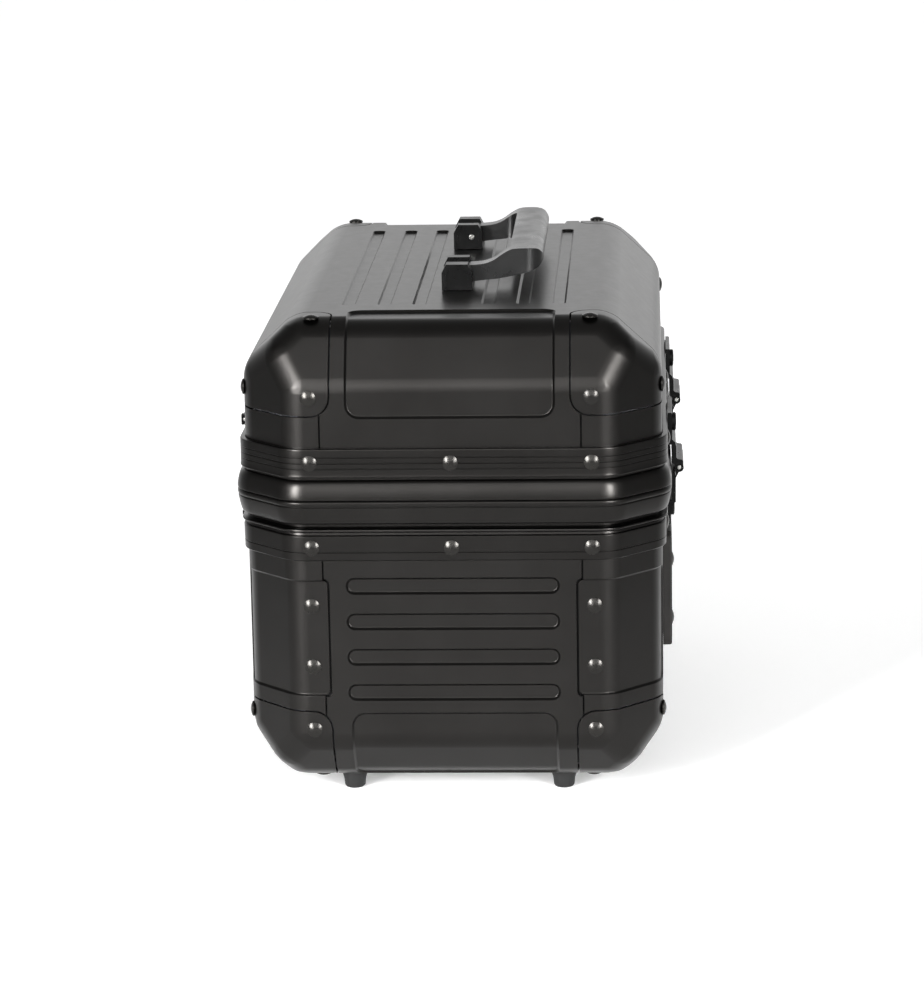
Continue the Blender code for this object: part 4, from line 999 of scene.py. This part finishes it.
BRACKET_OUTLINE = [(-0.0083, 0.2623), (0.0083, 0.2623), (0.0083, 0.2720), (0.0059, 0.2766), (-0.0059, 0.2766),
                   (-0.0083, 0.2720)]
for word, side in (("left", -1), ("right", 1)):
    bracket = prism("handle_bracket_casting_" + word, BRACKET_OUTLINE, side * 0.051, side * 0.082)
    slot_in, slot_out = side * 0.058, side * 0.073
    boolean(bracket, cube((slot_in, -0.1, 0.2642), (slot_out, 0.1, 0.3)))
    # a shallow panel is sunk in the outer face, so that the ear's rim stands proud round it
    panel = [(-0.0060, 0.2600), (0.0060, 0.2600), (0.0060, 0.2708), (0.0046, 0.2738), (-0.0046, 0.2738),
             (-0.0060, 0.2708)]
    for face_x, inwards in ((0.082, -1), (0.051, 1)):
        sunk = prism("panel", panel, side * (face_x + inwards * 0.0005), side * (face_x - inwards * 0.01))
        boolean(bracket, sunk)
    boolean(bracket, rod("bore", (side * 0.049, PIN_Y, PIN_Z), (side, 0, 0), 0.0285, 0.0018, 24))
    soft_edges(bracket, 0.0005, 2, 25)
    smooth_finish(bracket, 40)
    fit_piece(bracket, cast_zinc, "painted_zinc", "lid", "handle_bracket_" + word)
    pin = rod("handle_pin_steel_" + word, (side * 0.0507, PIN_Y, PIN_Z), (side, 0, 0), 0.0262, 0.0015, 24)
    soft_edges(pin, 0.0003, 2)
    smooth_finish(pin, 60)
    fit_piece(pin, pin_metal, "pin_steel", "lid", "handle_pin_" + word)


for word in ("left", "right"):
    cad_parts["handle_plate_" + word].material_slots[0].material = frame_metal


# ---------------------------------------------------------------- hinges
# Two cast hinges on the rear. The upper leaf steps over the bulge and ends in two knuckles, the lower leaf
# carries the middle knuckle; a steel pin runs through all three. A domed fastener holds each leaf.

HINGE_PIN = (0.1204, 0.1685)
HINGE_HALF = 0.020
KNUCKLE_HALF = 0.0069
KNUCKLE_RADIUS = 0.0024
HINGE_X = 0.088


def hinge_screw(x, y, z, radius=0.0050, height=0.0018):
    """A low domed head with a ring groove, facing the rear."""
    head = rod("screw", (x, y - 0.0006, z), (0, 1, 0), height + 0.0006, radius)
    select_only(head)
    bpy.ops.object.mode_set(mode="EDIT")
    bpy.ops.mesh.select_mode(type="FACE")
    bpy.ops.object.mode_set(mode="OBJECT")
    for face in head.data.polygons:
        face.select = face.normal.y > 0.9
    bpy.ops.object.mode_set(mode="EDIT")
    bpy.ops.mesh.inset(thickness=radius * 0.18, depth=0.00045)
    bpy.ops.mesh.inset(thickness=radius * 0.12, depth=-0.0003)
    bpy.ops.mesh.inset(thickness=radius * 0.10, depth=0.0002)
    bpy.ops.mesh.inset(thickness=radius * 0.25, depth=0.0002)
    bpy.ops.mesh.select_mode(type="VERT")
    bpy.ops.object.mode_set(mode="OBJECT")
    return head


UPPER_LEAF = ((0.1142, 0.1816), (0.1163, 0.1812), (0.1163, 0.1712), (0.1176, 0.1704), (0.1180, 0.1686),
              (0.1221, 0.1686), (0.1224, 0.1700), (0.1224, 0.1722), (0.1218, 0.1730), (0.1196, 0.1733),
              (0.1188, 0.1742), (0.1187, 0.1805), (0.1182, 0.1825), (0.1166, 0.1842), (0.1166, 0.1984),
              (0.1161, 0.1990), (0.1142, 0.1990))
UPPER_CLEAR = ((0.1100, 0.1711), (0.1300, 0.1711), (0.1300, 0.1600), (0.1100, 0.1600))
LOWER_LEAF = ((0.1132, 0.1370), (0.1150, 0.1370), (0.1156, 0.1376), (0.1156, 0.1472), (0.1168, 0.1486),
              (0.1184, 0.1492), (0.1185, 0.1640), (0.1180, 0.1656), (0.1163, 0.1656), (0.1163, 0.1508),
              (0.1132, 0.1506))
LOWER_ARM = ((0.1165, 0.1600), (0.1183, 0.1590), (0.1204, 0.1634), (0.1221, 0.1660), (0.1221, 0.1685),
             (0.1187, 0.1685), (0.1182, 0.1640))
for word, side in (("left", -1), ("right", 1)):
    x = side * HINGE_X
    leaf = prism("hinge_upper_leaf_casting_" + word, UPPER_LEAF, x - HINGE_HALF, x + HINGE_HALF)
    boolean(leaf, prism("gap", UPPER_CLEAR, x - KNUCKLE_HALF - 0.0003, x + KNUCKLE_HALF + 0.0003))
    for low, high in ((-HINGE_HALF, -KNUCKLE_HALF - 0.0003), (KNUCKLE_HALF + 0.0003, HINGE_HALF)):
        boolean(leaf, rod("knuckle", (x + low, *HINGE_PIN), (1, 0, 0), high - low, KNUCKLE_RADIUS, 28), "UNION")
    boolean(leaf, rod("bore", (x - 0.05, *HINGE_PIN), (1, 0, 0), 0.1, 0.0014, 20))
    soft_edges(leaf, 0.0004, 2, 35)
    leaf = join_pieces(leaf.name, [leaf, hinge_screw(x, 0.1166, 0.1900)])
    smooth_finish(leaf, 40)
    fit_piece(leaf, cast_zinc, "painted_zinc", "lid", "hinge_upper_leaf_" + word)

    lower = prism("hinge_lower_leaf_casting_" + word, LOWER_LEAF, x - HINGE_HALF, x + HINGE_HALF)
    boolean(lower, prism("arm", LOWER_ARM, x - KNUCKLE_HALF, x + KNUCKLE_HALF), "UNION")
    boolean(lower, rod("knuckle", (x - KNUCKLE_HALF, *HINGE_PIN), (1, 0, 0), 2 * KNUCKLE_HALF, KNUCKLE_RADIUS, 28),
            "UNION")
    boolean(lower, rod("bore", (x - 0.05, *HINGE_PIN), (1, 0, 0), 0.1, 0.0014, 20))
    soft_edges(lower, 0.0004, 2, 35)
    lower = join_pieces(lower.name, [lower, hinge_screw(x, 0.1156, 0.1420, 0.0045)])
    smooth_finish(lower, 40)
    fit_piece(lower, cast_zinc, "painted_zinc", "case_body", "hinge_lower_leaf_" + word)

    pin = rod("hinge_pin_steel_" + word, (x - HINGE_HALF + 0.0003, *HINGE_PIN), (1, 0, 0),
              2 * HINGE_HALF - 0.0006, 0.0012, 24)
    soft_edges(pin, 0.0003, 2)
    smooth_finish(pin, 60)
    fit_piece(pin, pin_metal, "pin_steel", "lid", "hinge_pin_" + word)


# ---------------------------------------------------------------- hasp locks
# Two cast locks on the front. A hasp hangs from a plate on the lid's band and its staple drops into the
# lock on the body; a sliding button beside a round key cylinder frees it.

LOCK_X = 0.070
BODY_FACE = 0.1132          # over the body's band
LID_FACE = 0.1142           # over the lid's band
LOCK_FACE = 0.1160
HASP_NEAR = 0.1164
HASP_PIN = (-0.1179, 0.1920)
BUTTON_Z = 0.1225
LOCK_HALF = 0.022
HASP_HALF = 0.012
for word, side in (("left", -1), ("right", 1)):
    x = side * LOCK_X
    lock = cube((x - LOCK_HALF, -LOCK_FACE, 0.1120), (x + LOCK_HALF, -BODY_FACE, 0.1500), "lock_casting_" + word)
    bevel_edges(lock, lambda a, b: abs(a.y - b.y) > 0.001, 0.0045, 8)
    boolean(lock, cube((x - LOCK_HALF + 0.002, -BODY_FACE - 0.0005, 0.1145),
                       (x + LOCK_HALF - 0.002, -HALF_WIDTH - 0.0003, 0.1358)), "UNION")
    rim = cube((x - LOCK_HALF + 0.0025, -LOCK_FACE - 0.01, 0.1145),
               (x + LOCK_HALF - 0.0025, -LOCK_FACE + 0.0005, 0.1308))
    boolean(lock, bevel_all(rim, 0.0004, 2))
    boolean(lock, cube((x - 0.0052, -0.2, 0.1403), (x + 0.0052, -BODY_FACE - 0.0004, 0.2)))
    button_x = x - 0.012
    boolean(lock, cube((button_x - 0.0088, -0.2, BUTTON_Z - 0.0043),
                       (button_x + 0.0088, -LOCK_FACE + 0.0018, BUTTON_Z + 0.0043)))
    key_x = x + 0.011
    boolean(lock, rod("keyway", (key_x, -LOCK_FACE + 0.0018, BUTTON_Z), (0, -1, 0), 0.01, 0.0045, 40))
    soft_edges(lock, 0.00035, 2, 40)
    smooth_finish(lock, 40)
    fit_piece(lock, cast_zinc, "painted_zinc", "case_body", "lock_body_" + word)

    button_start = button_x - 0.0085
    button = cube((button_start, -LOCK_FACE - 0.0018, BUTTON_Z - 0.0040),
                  (button_start + 0.012, -LOCK_FACE + 0.0015, BUTTON_Z + 0.0040), "lock_button_casting_" + word)
    for groove in range(4):
        groove_x = button_start + 0.0030 + groove * 0.0020
        boolean(button, cube((groove_x - 0.0004, -0.2, BUTTON_Z - 0.0028),
                             (groove_x + 0.0004, -LOCK_FACE - 0.0013, BUTTON_Z + 0.0028)))
    soft_edges(button, 0.0003, 2)
    smooth_finish(button, 40)
    fit_piece(button, cast_zinc, "painted_zinc", "button_" + word, "lock_button_" + word)

    key = rod("key_cylinder_steel_" + word, (key_x, -LOCK_FACE + 0.0015, BUTTON_Z), (0, -1, 0), 0.0022, 0.0042, 40)
    boolean(key, cube((key_x - 0.0005, -0.2, BUTTON_Z - 0.0025), (key_x + 0.0005, -LOCK_FACE + 0.0005,
                                                                 BUTTON_Z + 0.0025)))
    boolean(key, rod("eye", (key_x, -0.2, BUTTON_Z + 0.0012), (0, 1, 0), 0.2 - LOCK_FACE + 0.0005, 0.0009, 20))
    soft_edges(key, 0.0003, 2, 50)
    smooth_finish(key, 40)
    fit_piece(key, pin_metal, "pin_steel", "key_" + word, "lock_cylinder_" + word)

    plate = cube((x - 0.018, -LID_FACE - 0.0014, 0.1816), (x + 0.018, -LID_FACE, 0.2046), "hasp_plate_casting_" + word)
    bevel_edges(plate, lambda a, b: abs(a.y - b.y) > 0.001, 0.0035, 8)
    for ear in (-1, 1):
        ear_x = x + ear * (HASP_HALF + 0.0022)
        boolean(plate, cube((ear_x - 0.0017, -0.1199, 0.1890), (ear_x + 0.0017, -LID_FACE - 0.0010, 0.1950)),
                "UNION")
    boolean(plate, rod("bore", (x - 0.03, *HASP_PIN), (1, 0, 0), 0.06, 0.0013, 20))
    soft_edges(plate, 0.0003, 2, 40)
    heads = []
    for ear in (-1, 1):
        head = hinge_screw(x + ear * 0.0125, LID_FACE + 0.0014, 0.2002, 0.0024, 0.0008)
        flipped = mirror_copy(head, "head", 1)
        bpy.data.objects.remove(head, do_unlink=True)
        heads.append(flipped)
    plate = join_pieces(plate.name, [plate] + heads)
    smooth_finish(plate, 40)
    fit_piece(plate, cast_zinc, "painted_zinc", "lid", "hasp_plate_" + word)

    pin = rod("hasp_pin_steel_" + word, (x - HASP_HALF - 0.0036, *HASP_PIN), (1, 0, 0), 0.0312, 0.0010, 24)
    soft_edges(pin, 0.00025, 2)
    smooth_finish(pin, 60)
    fit_piece(pin, pin_metal, "pin_steel", "lid", "hasp_pin_" + word)

    hasp = cube((x - HASP_HALF, -HASP_NEAR - 0.0020, 0.1360), (x + HASP_HALF, -HASP_NEAR, 0.1920), "hasp_casting_" + word)
    bevel_edges(hasp, lambda a, b: abs(a.y - b.y) > 0.001 and a.z < 0.15, 0.0035, 8)
    panel = cube((x - HASP_HALF + 0.0025, -0.13, 0.1430), (x + HASP_HALF - 0.0025, -HASP_NEAR - 0.0015, 0.1860))
    boolean(hasp, bevel_all(panel, 0.0004, 2))
    boolean(hasp, rod("barrel", (x - HASP_HALF, *HASP_PIN), (1, 0, 0), 2 * HASP_HALF, 0.0020, 28), "UNION")
    boolean(hasp, cube((x - 0.0070, -HASP_NEAR - 0.0054, 0.1360), (x + 0.0070, -HASP_NEAR - 0.0016, 0.1382)), "UNION")
    boolean(hasp, cube((x - 0.0040, -HASP_NEAR - 0.0002, 0.1423), (x + 0.0040, -BODY_FACE - 0.0009, 0.1447)), "UNION")
    boolean(hasp, rod("bore", (x - 0.03, *HASP_PIN), (1, 0, 0), 0.06, 0.0013, 20))
    soft_edges(hasp, 0.0004, 2, 40)
    smooth_finish(hasp, 40)
    fit_piece(hasp, cast_zinc, "painted_zinc", "hasp_" + word, "hasp_" + word)


# ---------------------------------------------------------------- feet and inner strips
# Four turned rubber feet under the bottom, each with a rounded tip. Thin strips back the open joints
# beside the end panels.

rubber = moulded_plastic("matt_black_rubber", ("#0b0b0b", "#111111"), 0.6, 0.0007, 0.3)
strip_metal = anodised_aluminium("dull_black_backing_strip", ("#1c1c1c", "#222222"), 0.55, 0.0006)
FOOT_PROFILE = ((0.0000, 0.0000), (0.0040, 0.0000), (0.0050, 0.0004), (0.0056, 0.0012), (0.0060, 0.0050),
                (0.0067, 0.0076), (0.0068, 0.0097), (0.0000, 0.0097))
foot_line = bpy.data.meshes.new("foot")
foot_line.from_pydata([(r, 0, z) for r, z in FOOT_PROFILE], [(i, i + 1) for i in range(len(FOOT_PROFILE) - 1)], [])
foot_model = bpy.data.objects.new("foot", foot_line)
scene.collection.objects.link(foot_model)
select_only(foot_model)
bpy.ops.object.mode_set(mode="EDIT")
bpy.ops.mesh.select_all(action="SELECT")
bpy.ops.mesh.spin(steps=40, angle=math.tau, center=(0, 0, 0), axis=(0, 0, 1))
bpy.ops.mesh.select_all(action="SELECT")
bpy.ops.mesh.remove_doubles(threshold=0.00001)
bpy.ops.mesh.normals_make_consistent(inside=False)
bpy.ops.object.mode_set(mode="OBJECT")
for word, sx, sy in (("front_left", -1, -1), ("front_right", 1, -1), ("rear_left", -1, 1), ("rear_right", 1, 1)):
    foot = copy_piece(foot_model, "foot_rubber_" + word)
    foot.data.transform(Matrix.Translation((sx * 0.145, sy * 0.057, 0)))
    smooth_finish(foot, 45)
    fit_piece(foot, rubber, "rubber", "case_body", "foot_" + word)
    for half in ("body", "lid"):
        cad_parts[half + "_joint_strip_" + word].material_slots[0].material = strip_metal
bpy.data.objects.remove(foot_model, do_unlink=True)

seal = smooth_finish(swept_ring("lid_seal_rubber", SEAL_PROFILE), 40)
fit_piece(seal, rubber, "rubber", "lid", "lid_seal")


# ---------------------------------------------------------------- rear strap
# A flat padded strap of black leather on the rear wall, folded over a filler and stitched round its edge.
# Four rivets hold its ends.

STRAP_HALF = 0.0875
STRAP_LOW = 0.0616
STRAP_HIGH = 0.1269
STRAP_FACE = 0.1163
leather = bpy.data.materials.new("grained_black_leather")
leather.use_nodes = True
tree = leather.node_tree
shader = tree.nodes["Principled BSDF"]
shader.inputs["IOR"].default_value = 1.48
shader.inputs["Specular IOR Level"].default_value = 0.2
place = add_node(tree, "ShaderNodeTexCoord")
# Pebbled grain of about 1.2 mm, with fine pores between.
pebbles = add_node(tree, "ShaderNodeTexVoronoi", {"feature": "SMOOTH_F1", "Scale": 1 / 0.0013, "Smoothness": 0.5},
                   Vector=place.outputs["Object"])
pores = add_node(tree, "ShaderNodeTexNoise", {"Scale": 2600.0, "Detail": 3.0}, Vector=place.outputs["Object"])
hide = add_node(tree, "ShaderNodeTexNoise", {"Scale": 45.0, "Detail": 5.0}, Vector=place.outputs["Object"])
tone = add_node(tree, "ShaderNodeValToRGB", Fac=hide.outputs["Fac"])
tone.color_ramp.elements[0].position = 0.3
tone.color_ramp.elements[0].color = linear_colour("#1c1b1a")
tone.color_ramp.elements[1].position = 0.75
tone.color_ramp.elements[1].color = linear_colour("#282625")
tree.links.new(tone.outputs["Color"], shader.inputs["Base Color"])
sheen = add_node(tree, "ShaderNodeMapRange", {"To Min": 0.42, "To Max": 0.66}, Value=hide.outputs["Fac"])
tree.links.new(sheen.outputs["Result"], shader.inputs["Roughness"])
heights = add_node(tree, "ShaderNodeMath", {"operation": "MULTIPLY_ADD", 1: 0.35})
tree.links.new(pores.outputs["Fac"], heights.inputs[0])
tree.links.new(pebbles.outputs["Distance"], heights.inputs[2])
bump = add_node(tree, "ShaderNodeBump", {"Strength": 0.35, "Distance": 0.00015}, Height=heights.outputs["Value"])
tree.links.new(bump.outputs["Normal"], shader.inputs["Normal"])

strap = cube((-STRAP_HALF, HALF_WIDTH + 0.0004, STRAP_LOW), (STRAP_HALF, STRAP_FACE, STRAP_HIGH), "rear_strap_leather")
bevel_edges(strap, lambda a, b: abs(a.y - b.y) > 0.001, 0.006, 10)
bevel_edges(strap, lambda a, b: min(a.y, b.y) > STRAP_FACE - 0.0005, 0.0012, 5)
bpy.ops.object.mode_set(mode="EDIT")
bpy.ops.mesh.select_mode(type="FACE")
bpy.ops.object.mode_set(mode="OBJECT")
for face in strap.data.polygons:
    face.select = face.normal.y > 0.999 and face.area > 0.005
bpy.ops.object.mode_set(mode="EDIT")
for inwards, rise in ((0.0010, 0.0), (0.0006, -0.0002), (0.0006, -0.0002), (0.0007, 0.0003), (0.0010, 0.0002)):
    bpy.ops.mesh.inset(thickness=inwards, depth=rise)
bpy.ops.mesh.select_mode(type="VERT")
bpy.ops.object.mode_set(mode="OBJECT")
smooth_finish(strap, 50)
fit_piece(strap, leather, "strap_leather", "case_body", "rear_strap")

# Waxed thread, one stitch each 5 mm, lying in the groove 3.5 mm from the strap's edge.
STITCH_PITCH = 0.005
thread = moulded_plastic("waxed_black_thread", ("#2b2b2a", "#353534"), 0.5, 0.0004)
stitch_model = cube((-0.0017, -0.0003, -0.00035), (0.0017, 0.0003, 0.00035), "stitch")
bevel_all(stitch_model, 0.00022, 2)
stitches = []
inset = 0.0035
long_count = int((2 * STRAP_HALF - 0.016) / STITCH_PITCH)
short_count = int((STRAP_HIGH - STRAP_LOW - 0.016) / STITCH_PITCH)
for number in range(long_count + 1):
    for z in (STRAP_LOW + inset, STRAP_HIGH - inset):
        stitch = copy_piece(stitch_model, "stitch")
        stitch.data.transform(Matrix.Translation(((number - long_count / 2) * STITCH_PITCH, STRAP_FACE - 0.0002, z)))
        stitches.append(stitch)
for number in range(short_count + 1):
    for x in (-STRAP_HALF + inset, STRAP_HALF - inset):
        stitch = copy_piece(stitch_model, "stitch")
        middle_z = (STRAP_LOW + STRAP_HIGH) / 2
        stitch.data.transform(Matrix.Translation((x, STRAP_FACE - 0.0002,
                                                  middle_z + (number - short_count / 2) * STITCH_PITCH))
                              @ Matrix.Rotation(math.pi / 2, 4, "Y"))
        stitches.append(stitch)
bpy.data.objects.remove(stitch_model, do_unlink=True)
stitching = join_pieces("rear_strap_stitching", stitches)
smooth_finish(stitching, 60)
fit_piece(stitching, thread, "strap_leather", "case_body")
rivet_row("rear_strap_rivets", [((side * 0.081, STRAP_FACE - 0.0004, height), (0, 1, 0))
                                for side in (-1, 1) for height in (0.0774, 0.1107)], "case_body")
bpy.data.objects.remove(rivet_model, do_unlink=True)


# ---------------------------------------------------------------- linings
# Both halves are lined with charcoal velour on a thin foam backing, glued to the walls and quilted in
# diamonds. A piping of the same cloth, sewn over a cord, finishes each lining's edge.

LINING_DEPTH = 0.0043
LINING_THICKNESS = 0.0017
BODY_LINING_TOP = 0.1497
LID_LINING_BOTTOM = 0.1830

velour = bpy.data.materials.new("quilted_charcoal_velour")
velour.use_nodes = True
tree = velour.node_tree
shader = tree.nodes["Principled BSDF"]
shader.inputs["Roughness"].default_value = 0.92
shader.inputs["Sheen Weight"].default_value = 0.5
shader.inputs["Sheen Roughness"].default_value = 0.4
place = add_node(tree, "ShaderNodeTexCoord")
# Pile tufts of about 0.5 mm; quilting lines every 24 mm, crossing at right angles.
pile = add_node(tree, "ShaderNodeTexNoise", {"Scale": 2000.0, "Detail": 2.0}, Vector=place.outputs["Object"])
brushed = add_node(tree, "ShaderNodeTexNoise", {"Scale": 26.0, "Detail": 5.0, "Roughness": 0.6},
                   Vector=place.outputs["Object"])
tone = add_node(tree, "ShaderNodeValToRGB", Fac=brushed.outputs["Fac"])
tone.color_ramp.elements[0].position = 0.3
tone.color_ramp.elements[0].color = linear_colour("#2b2c2f")
tone.color_ramp.elements[1].position = 0.75
tone.color_ramp.elements[1].color = linear_colour("#3b3c40")
tree.links.new(tone.outputs["Color"], shader.inputs["Base Color"])
QUILT_PITCH = 0.024
axes = add_node(tree, "ShaderNodeSeparateXYZ", Vector=place.outputs["Object"])
round_about = add_node(tree, "ShaderNodeMath", {"operation": "ADD"})
tree.links.new(axes.outputs["X"], round_about.inputs[0])
tree.links.new(axes.outputs["Y"], round_about.inputs[1])
lines = []
for operation in ("ADD", "SUBTRACT"):
    slanted = add_node(tree, "ShaderNodeMath", {"operation": operation})
    tree.links.new(round_about.outputs["Value"], slanted.inputs[0])
    tree.links.new(axes.outputs["Z"], slanted.inputs[1])
    folded_back = add_node(tree, "ShaderNodeMath", {"operation": "PINGPONG", 1: QUILT_PITCH / 2})
    tree.links.new(slanted.outputs["Value"], folded_back.inputs[0])
    line = add_node(tree, "ShaderNodeMapRange", {"interpolation_type": "SMOOTHSTEP", "From Min": 0.0,
                                                 "From Max": 0.005}, Value=folded_back.outputs["Value"])
    lines.append(line)
quilt = add_node(tree, "ShaderNodeMath", {"operation": "MULTIPLY"})
tree.links.new(lines[0].outputs["Result"], quilt.inputs[0])
tree.links.new(lines[1].outputs["Result"], quilt.inputs[1])
fluff = add_node(tree, "ShaderNodeBump", {"Strength": 0.3, "Distance": 0.0002}, Height=pile.outputs["Fac"])
puffed = add_node(tree, "ShaderNodeBump", {"Strength": 0.9, "Distance": 0.0015}, Height=quilt.outputs["Value"],
                  Normal=fluff.outputs["Normal"])
tree.links.new(puffed.outputs["Normal"], shader.inputs["Normal"])

body_lining = trimmed(body_block(LINING_DEPTH),
                      [cube((-BEYOND, -BEYOND, BODY_LINING_TOP), (BEYOND, BEYOND, BEYOND))])
body_lining.name = "body_lining_velour"
sheet_finish(body_lining, LINING_THICKNESS)
fit_piece(body_lining, velour, "lining_cloth", "case_body", "body_lining")
lid_lining = trimmed(bent_block("lid_lining_velour", (-HALF_LENGTH, -HALF_WIDTH, 0.0),
                                (HALF_LENGTH, HALF_WIDTH, LID_ROOF),
                                case_planes(LID_ROOF, 1, LID_END_SLOPE, LID_SIDE_SLOPE), LINING_DEPTH),
                     [cube((-BEYOND, -BEYOND, -BEYOND), (BEYOND, BEYOND, LID_LINING_BOTTOM))])
sheet_finish(lid_lining, LINING_THICKNESS)
fit_piece(lid_lining, velour, "lining_cloth", "lid", "lid_lining")

PIPING_RADIUS = 0.0013
for name, body, height in (("body_lining_piping", "case_body", BODY_LINING_TOP - 0.0012),
                           ("lid_lining_piping", "lid", LID_LINING_BOTTOM + 0.0012)):
    cord_section = [(-LINING_DEPTH - LINING_THICKNESS - 0.0004 + PIPING_RADIUS * math.cos(math.tau * step / 12),
                     height + PIPING_RADIUS * math.sin(math.tau * step / 12)) for step in range(12)]
    piping = smooth_finish(swept_ring(name, cord_section), 60)
    fit_piece(piping, velour, "lining_cloth", body)
